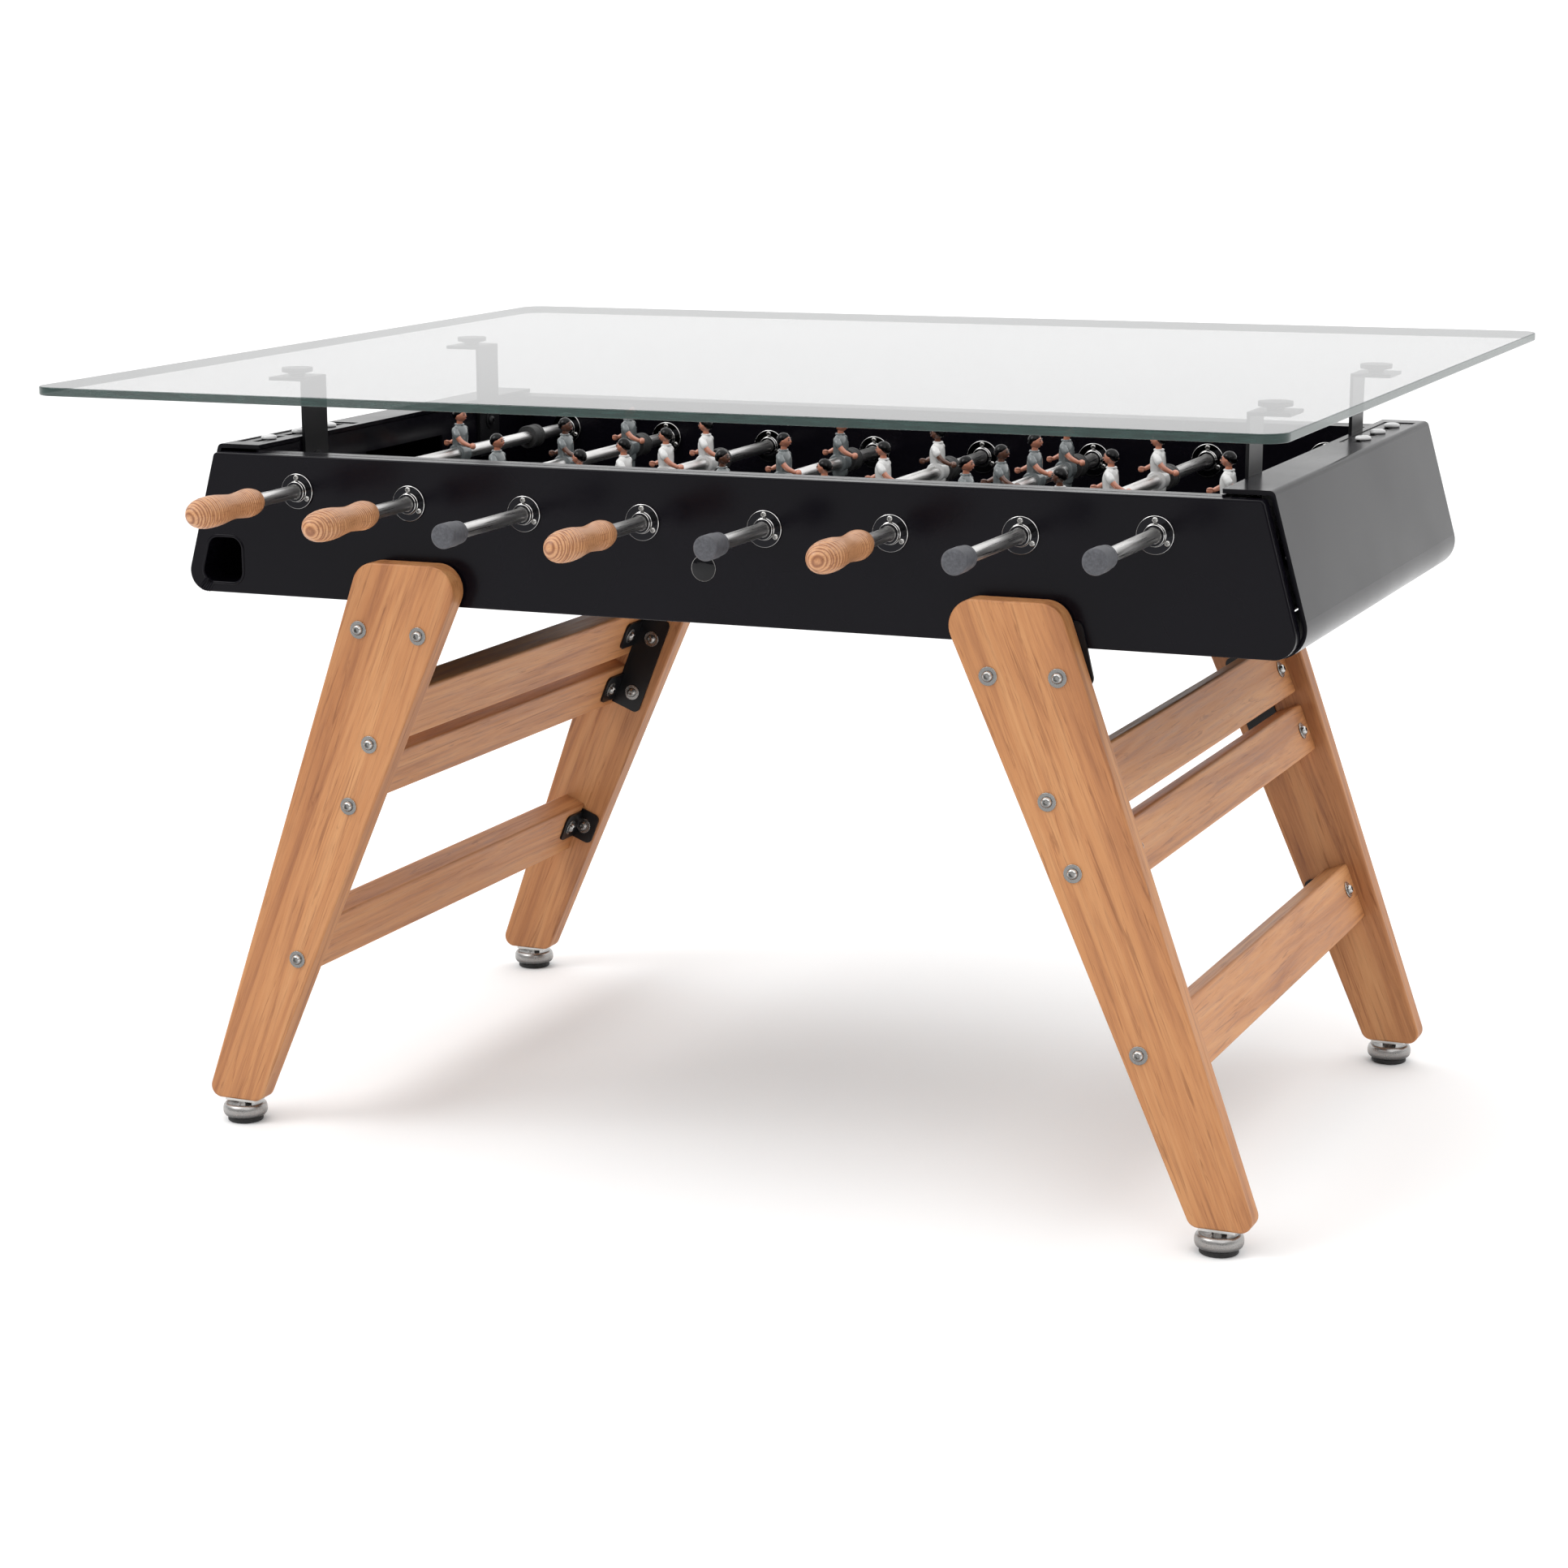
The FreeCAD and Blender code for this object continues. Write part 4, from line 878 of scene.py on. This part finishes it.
def arm(side, reach):
    """A short sleeve, an arm bent at the elbow and a fist, towards or away from the front."""
    shoulder = (0.3, side * 12.6, 30.0)
    upper = (4.5 * reach, side * 16.2, 24.0)
    elbow = (11.5 * reach, side * 16.4, 16.5)
    wrist = (20.5 * reach, side * 13.6, 11.5)
    knuckle = (25.2 * reach, side * 12.0, 10.6)
    sleeve = tube([shoulder, (2.2 * reach, side * 14.9, 27.4), upper], [4.6, 4.9, 5.0])
    bare = tube([upper, elbow, wrist], [3.7, 3.4, 2.6])
    fist = globe(knuckle, (4.1, 3.3, 3.9), 10, 14)
    thumb = tube([wrist, (24 * reach, side * 10.0, 13.2), (27 * reach, side * 10.6, 12.6)], [1.5, 1.6, 1.4],
                 sides=10)
    return [(*sleeve, 0), (*bare, 1), (*fist, 1), (*thumb, 1)]


def leg_parts(side):
    """Shorts, a bare knee, a sock and a boot."""
    y = side * 4.9
    thigh = tube([(0, y, -12), (0.4, y, -24)], [6.6, 6.2])
    knee = tube([(0.4, y, -22), (1.0, y, -33)], [4.9, 4.3])
    sock = tube([(1.0, y, -33), (0.0, y, -42), (0.0, y, -53)], [4.5, 4.7, 3.9])
    boot = loft([(-62, 1, 7.2, 3.8), (-61.6, 1, 8.8, 4.5), (-59, 1, 9.2, 4.7), (-56, 0.2, 7.6, 4.5),
                 (-53, -1.2, 5.0, 4.2), (-51, -1.4, 4.2, 3.8)], 20)
    moved_boot = [(x, across + y, z) for x, across, z in boot[0]]
    return [(*thigh, 0), (*knee, 1), (*sock, 0), (moved_boot, boot[1], 2)]


def player_mesh(name, forward_arm):
    """One cast player, facing +X, with the rod's axis through its waist at height 0."""
    torso = loft([(-17, 0.2, 7.6, 10.6), (-15, 0.2, 9.0, 11.6), (-9, 0, 9.6, 11.8), (-3, 0, 9.6, 11.0),
                  (3, 0, 9.3, 10.5), (9, 0.2, 8.8, 10.8), (15, 0.6, 8.9, 11.8), (21, 0.9, 9.0, 12.9),
                  (26, 0.9, 8.6, 13.4), (30, 0.6, 7.6, 13.2), (33, 0.4, 6.2, 11.2), (35.4, 0.3, 4.9, 7.8),
                  (37, 0.3, 4.2, 5.4)])
    clamp = lathe(eased([(0, -11), (12.3, -11), (12.3, 11), (0, 11)], 2.2), 40)
    clamp = moved(clamp, Matrix.Rotation(-math.pi / 2, 4, "X"), 0)
    collar = closed_lathe([(5.2, 35.6), (6.4, 35.9), (6.7, 37.0), (5.8, 37.9), (4.8, 37.4)], 28)
    neck = tube([(0.3, 0, 34), (0.8, 0, 43)], [4.1, 3.8])
    head = globe((1.2, 0, 48.1), (7.9, 6.9, 8.9), 28, 40, head_shape)
    hair = globe((0.3, 0, 48.9), (8.3, 7.5, 8.7), 24, 38, hair_shape)
    web = loft([(-60, 0.3, 3.6, 7), (-40, 0.6, 2.6, 6), (-20, 0.2, 3.5, 6)], 16)
    parts = [(*torso, 0), clamp, (*collar, 0), (*neck, 1), (*head, 1), (*hair, 2), (*web, 0)]
    for side in (-1, 1):
        parts += arm(side, 1 if side == forward_arm else -1) + leg_parts(side)
        eye = globe((8.75, side * 2.7, 49.3), (0.8, 1.2, 0.8), 8, 12)
        eyebrow = tube([(8.9, side * 1.3, 51.4), (8.5, side * 3.9, 51.6)], [0.45, 0.38], sides=8)
        parts += [(*eye, 3), (*eyebrow, 3)]
    mouth = globe((9.2, 0, 44.3), (0.8, 2.0, 0.6), 8, 12)
    parts.append((*mouth, 4))
    return gather(parts, name, sharp=60)


DARK_SKINNED = {(2, 2), (4, 1), (5, 3), (6, 2), (7, 1)}  # (rod, player) pairs


def players():
    """Each rod's players: the grey side faces +X and the white side -X."""
    grey, white = player_mesh("grey_player", -1), player_mesh("white_player", -1)
    for k in RODS:
        if handle_way(k) < 0:
            mesh, paint, slot, front = grey, GREY_PAINT, "grey_players", X_AXIS
        else:
            mesh, paint, slot, front = white, WHITE_PAINT, "white_players", -X_AXIS
        finishes = [paint, LIGHT_SKIN, HAIR, EYE, LIPS]
        along, up = rod_axis(k)
        spots = sorted((min(p.y for p in ps) + max(p.y for p in ps)) / 2 for ps in islands(f"players_{k}"))
        for n, across in enumerate(spots, start=1):
            turn = facing(Z_AXIS, front, (along, across, up))
            stands_for = (f"players_{k}",) if n == 1 else ()
            made = piece(f"player_{k}_{n}", mesh, f"rod_{k}", finishes, turn, stands_for)
            if (k, n) in DARK_SKINNED:
                made.material_slots[1].link = "OBJECT"
                made.material_slots[1].material = DARK_SKIN


players()


# ------ levelling feet

NUT_CHAMFER = 0.9


def nut(radius, low, high):
    """A six-sided nut with chamfered corners."""
    rings = []
    for height, scale in ((low, 0.90), (low + NUT_CHAMFER, 1.0), (high - NUT_CHAMFER, 1.0), (high, 0.90)):
        ring = []
        for a in around(36):
            flat = radius * 0.94 / math.cos((a % (math.pi / 3)) - math.pi / 6)
            limit = radius * 1.08 * scale
            r = min(flat, limit)
            ring.append((r * math.cos(a), r * math.sin(a), height))
        rings.append(ring)
    return rings_to_mesh(rings)


SOLE_TOP, NUT_LOW, NUT_TOP, STUD_TOP = 5.98, 18, 25.6, 55  # heights above the floor
SOLE_RIM, SOLE_GROOVE = 22, 21.4                           # radii of the ribbed sole
THREAD_LOW, THREAD_HIGH, THREADS = 4.55, 4.95, 28          # a stud's two radii, and turns 1 mm apart


def foot_parts():
    """The disc, its nut, the threaded stud and the ribbed sole of a levelling foot."""
    disc = eased([(0, 6), (22, 6), (26, 8.4), (27.5, 12.2), (27.5, 17), (26.3, 21), (23.4, 23.4), (19, 22.3),
                  (13.5, 19.2), (10.6, 18.2), (0, 18.2)], 1.6)
    stud = [(0, 25)]
    for n in range(THREADS):
        stud += [(THREAD_LOW, NUT_TOP + n), (THREAD_HIGH, NUT_TOP + n + 0.5)]
    stud.append((0, STUD_TOP))
    ridged = [(0, 0), (20.6, 0), (SOLE_RIM, 1.2)]
    for base in (1.8, 3.5):
        ridged += [(SOLE_RIM, base), (SOLE_GROOVE, base + 0.5), (SOLE_RIM, base + 1.0)]
    ridged += [(21.6, SOLE_TOP), (0, SOLE_TOP)]
    sole = lathe(eased(ridged, 0.3, 2), 64)
    return lathe(disc, 64), nut(8, NUT_LOW, NUT_TOP), lathe(stud, 24), sole


def feet():
    """A steel piece and a sole for each foot, with its own axis at its middle."""
    disc, hexagon, stud, sole = foot_parts()
    steel = gather([(*disc, 0), (*hexagon, 0), (*stud, 0)], "foot_steel", sharp=28)
    pad = new_mesh("foot_sole", *sole)
    for corner in ("front_left", "back_left", "front_right", "back_right"):
        name = "foot_" + corner
        centre = middle(name)
        at = Matrix.Translation((centre.x, centre.y, 0))
        piece(name + "_steel", steel, name, [SATIN], at, (name,))
        piece(name + "_sole", pad, name, [SOLE], at)


feet()


# ------ score counters and badge

KNOB_DEEP = 6          # how far a score knob reaches below its plate
BADGE_UP = 63 * MM     # from the panel's lower edge to the badge's middle
LIP_REACH = 24 * MM    # how far outside its opening's box a ball opening's rim can lie
LIP_RADIUS, LIP_SIDES = 1.7, 12


def counters():
    """Low domed knobs that slide in the slots of the two score plates."""
    profile = [(0, -KNOB_DEEP), (7, -KNOB_DEEP), (7, -3.4), (4.0, -3.4), (4.0, 0.3), (9.5, 0.3), (9.5, 2.4),
               (8.4, 4.0), (5.6, 5.0), (2.6, 5.2), (0, 4.7)]
    knob = new_mesh("knob", *lathe(eased(profile, 0.8), 48))
    for tag in ("left", "right"):
        for n in (1, 2, 3):
            name = f"score_knob_{tag}_{n}"
            low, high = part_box(name)
            at = Matrix.Translation(((low.x + high.x) / 2, (low.y + high.y) / 2, low.z + KNOB_DEEP * MM))
            piece(f"domed_{name}", knob, name, [KNOB], at, (name,))


def panel_face(tag, way):
    """Where the outer face of a side panel lies across the table."""
    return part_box(f"{tag}_side_panel")[0 if way < 0 else 1].y


def badges():
    """A plain domed badge on the front and the back of the body, with a thin bright rim."""
    dome = lathe([(0, 0), (14.2, 0), (14.6, 0.5), (14.2, 1.1), (11, 1.9), (6, 2.4), (0, 2.6)], 56)
    rim = closed_lathe([(14.2, 0), (14.9, 0), (15.0, 0.5), (14.8, 0.9), (14.3, 0.8)], 56)
    mesh = gather([(*dome, 0), (*rim, 1)], "badge")
    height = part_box("front_side_panel")[0].z + BADGE_UP
    for tag, way in (("front", -1), ("back", 1)):
        turn = facing(Y_AXIS * way, X_AXIS, (0, panel_face(tag, way), height))
        piece(f"badge_{tag}", mesh, "table", [BADGE, SATIN], turn)


def opening_lips():
    """A rounded lip round each ball opening, along the rim of the hole in its panel."""
    for tag, way in (("front", -1), ("back", 1)):
        panel = frame["nodes"][f"{tag}_side_panel"]
        face = panel_face(tag, way)
        low, high = [Vector(c) for c in OPENINGS[f"ball_return_{tag}"]]
        rim = {(round(v.co.x, 5), round(v.co.z, 5)) for v in panel.data.vertices
               if abs(v.co.y - face) < 0.05 * MM and low.x - LIP_REACH < v.co.x < high.x + LIP_REACH
               and low.z - LIP_REACH < v.co.z < high.z + LIP_REACH}
        centre = Vector([sum(p[i] for p in rim) / len(rim) for i in range(2)])
        line = sorted((Vector(p) for p in rim), key=lambda p: math.atan2(p.y - centre.y, p.x - centre.x))
        piece(f"ball_lip_{tag}", lip_mesh(f"ball_lip_{tag}", line, face, way), "table", [BLACK])


def lip_mesh(name, line, face, way):
    """A rounded bead along a closed line in the plane of a panel's face."""
    verts, faces = [], []
    count = len(line)
    for n, here in enumerate(line):
        ahead = (line[(n + 1) % count] - line[n - 1]).normalized()
        out = Vector((ahead.y, -ahead.x))
        for a in around(LIP_SIDES):
            flat = here / MM + out * (LIP_RADIUS * 0.9 + LIP_RADIUS * 1.1 * math.cos(a))
            verts.append((flat.x, face / MM + way * LIP_RADIUS * 0.7 * math.sin(a), flat.y))
    for n in range(count):
        m = (n + 1) % count
        for k in range(LIP_SIDES):
            j = (k + 1) % LIP_SIDES
            faces.append((n * LIP_SIDES + k, m * LIP_SIDES + k, m * LIP_SIDES + j, n * LIP_SIDES + j))
    return new_mesh(name, verts, faces, sharp=60)


counters()
badges()
opening_lips()


# ------ stage, light and camera

FLOOR_REACH = 300        # from the middle to the floor's edges, in metres
DIM, BRIGHT = 0.13, 1.12  # the room's strength low down on the camera's side and elsewhere
SEEN_WHITE = 1.25        # the strength with which the room itself is seen
SENSOR, LENS = 36, 79.53  # in mm
YAW, PITCH, ROLL = 0.43190, 0.24795, -0.010211
CAMERA_AT = (1.5875, -3.9113, 1.3030)
SHIFT = (0.0699, 0.0810)


def floor():
    """A wide pale floor."""
    far = FLOOR_REACH
    mesh = bpy.data.meshes.new("floor")
    mesh.from_pydata([(-far, -far, 0), (far, -far, 0), (far, far, 0), (-far, far, 0)], [], [(0, 1, 2, 3)])
    thing = add_object("floor", mesh)
    made, tree, shader = material("pale_floor", (0.94, 0.94, 0.94), 0.9, specular=0.1)
    soft = noise(tree, place_of(tree), 0.7, detail=2)
    tree.links.new(mix(tree, soft, (0.93, 0.93, 0.93), (0.95, 0.95, 0.95)), shader.inputs["Base Color"])
    mesh.materials.append(made)


def room():
    """A bright room that is darker on the camera's side; seen directly, it is plain white."""
    world = bpy.data.worlds.new("studio")
    bpy.context.scene.world = world
    world.use_nodes = True
    tree = world.node_tree
    way = node(tree, "ShaderNodeTexCoord").outputs["Generated"]
    parts = node(tree, "ShaderNodeSeparateXYZ", {"Vector": way}).outputs
    up = span(tree, parts["Z"], 0, 1, 0.02, 0.75)
    back = span(tree, parts["Y"], 0, 1, -0.75, 0.25)
    bright = span(tree, math_of(tree, "MAXIMUM", up, back), DIM, BRIGHT)
    right_side = span(tree, parts["X"], 1, 0.88, 0.35, 0.85)
    overhead = span(tree, parts["Z"], 1, 1.45, 0.25, 0.7)
    strength = math_of(tree, "MULTIPLY", bright, math_of(tree, "MULTIPLY", right_side, overhead))
    direct = span(tree, node(tree, "ShaderNodeLightPath").outputs["Is Camera Ray"], 0, SEEN_WHITE)
    background = tree.nodes["Background"]
    background.inputs["Color"].default_value = (1, 1, 1, 1)
    tree.links.new(math_of(tree, "MAXIMUM", strength, direct), background.inputs["Strength"])


def lamp(name, at, target, size, power):
    """A square soft lamp that points at a target."""
    light = bpy.data.lights.new(name, "AREA")
    light.shape = "RECTANGLE"
    light.size, light.size_y = size, size
    light.energy = power
    thing = add_object(name, light)
    way = Vector(target) - Vector(at)
    thing.matrix_world = Matrix.Translation(at) @ way.to_track_quat("-Z", "Y").to_matrix().to_4x4()


def camera():
    """The photograph's own viewpoint, in metres from the middle of the floor below the table."""
    view = bpy.data.cameras.new("camera")
    thing = add_object("camera", view)
    ahead = Vector((-math.sin(YAW) * math.cos(PITCH), math.cos(YAW) * math.cos(PITCH), -math.sin(PITCH)))
    right = Vector((math.cos(YAW), math.sin(YAW), 0))
    up = right.cross(ahead)
    across = right * math.cos(ROLL) + up * math.sin(ROLL)
    upward = up * math.cos(ROLL) - right * math.sin(ROLL)
    turn = Matrix((across, upward, -ahead)).transposed().to_4x4()
    thing.matrix_world = Matrix.Translation(CAMERA_AT) @ turn
    view.sensor_width, view.lens = SENSOR, LENS
    view.shift_x, view.shift_y = SHIFT
    view.clip_end = 200
    bpy.context.scene.camera = thing


floor()
room()
lamp("key", (-2.6, -2.6, 4.0), (0, 0, 0.5), 2.4, 70)
lamp("fill", (2.4, -3.4, 3.0), (0, 0, 0.4), 2.2, 15)
camera()
bpy.context.scene.view_settings.view_transform = "Standard"
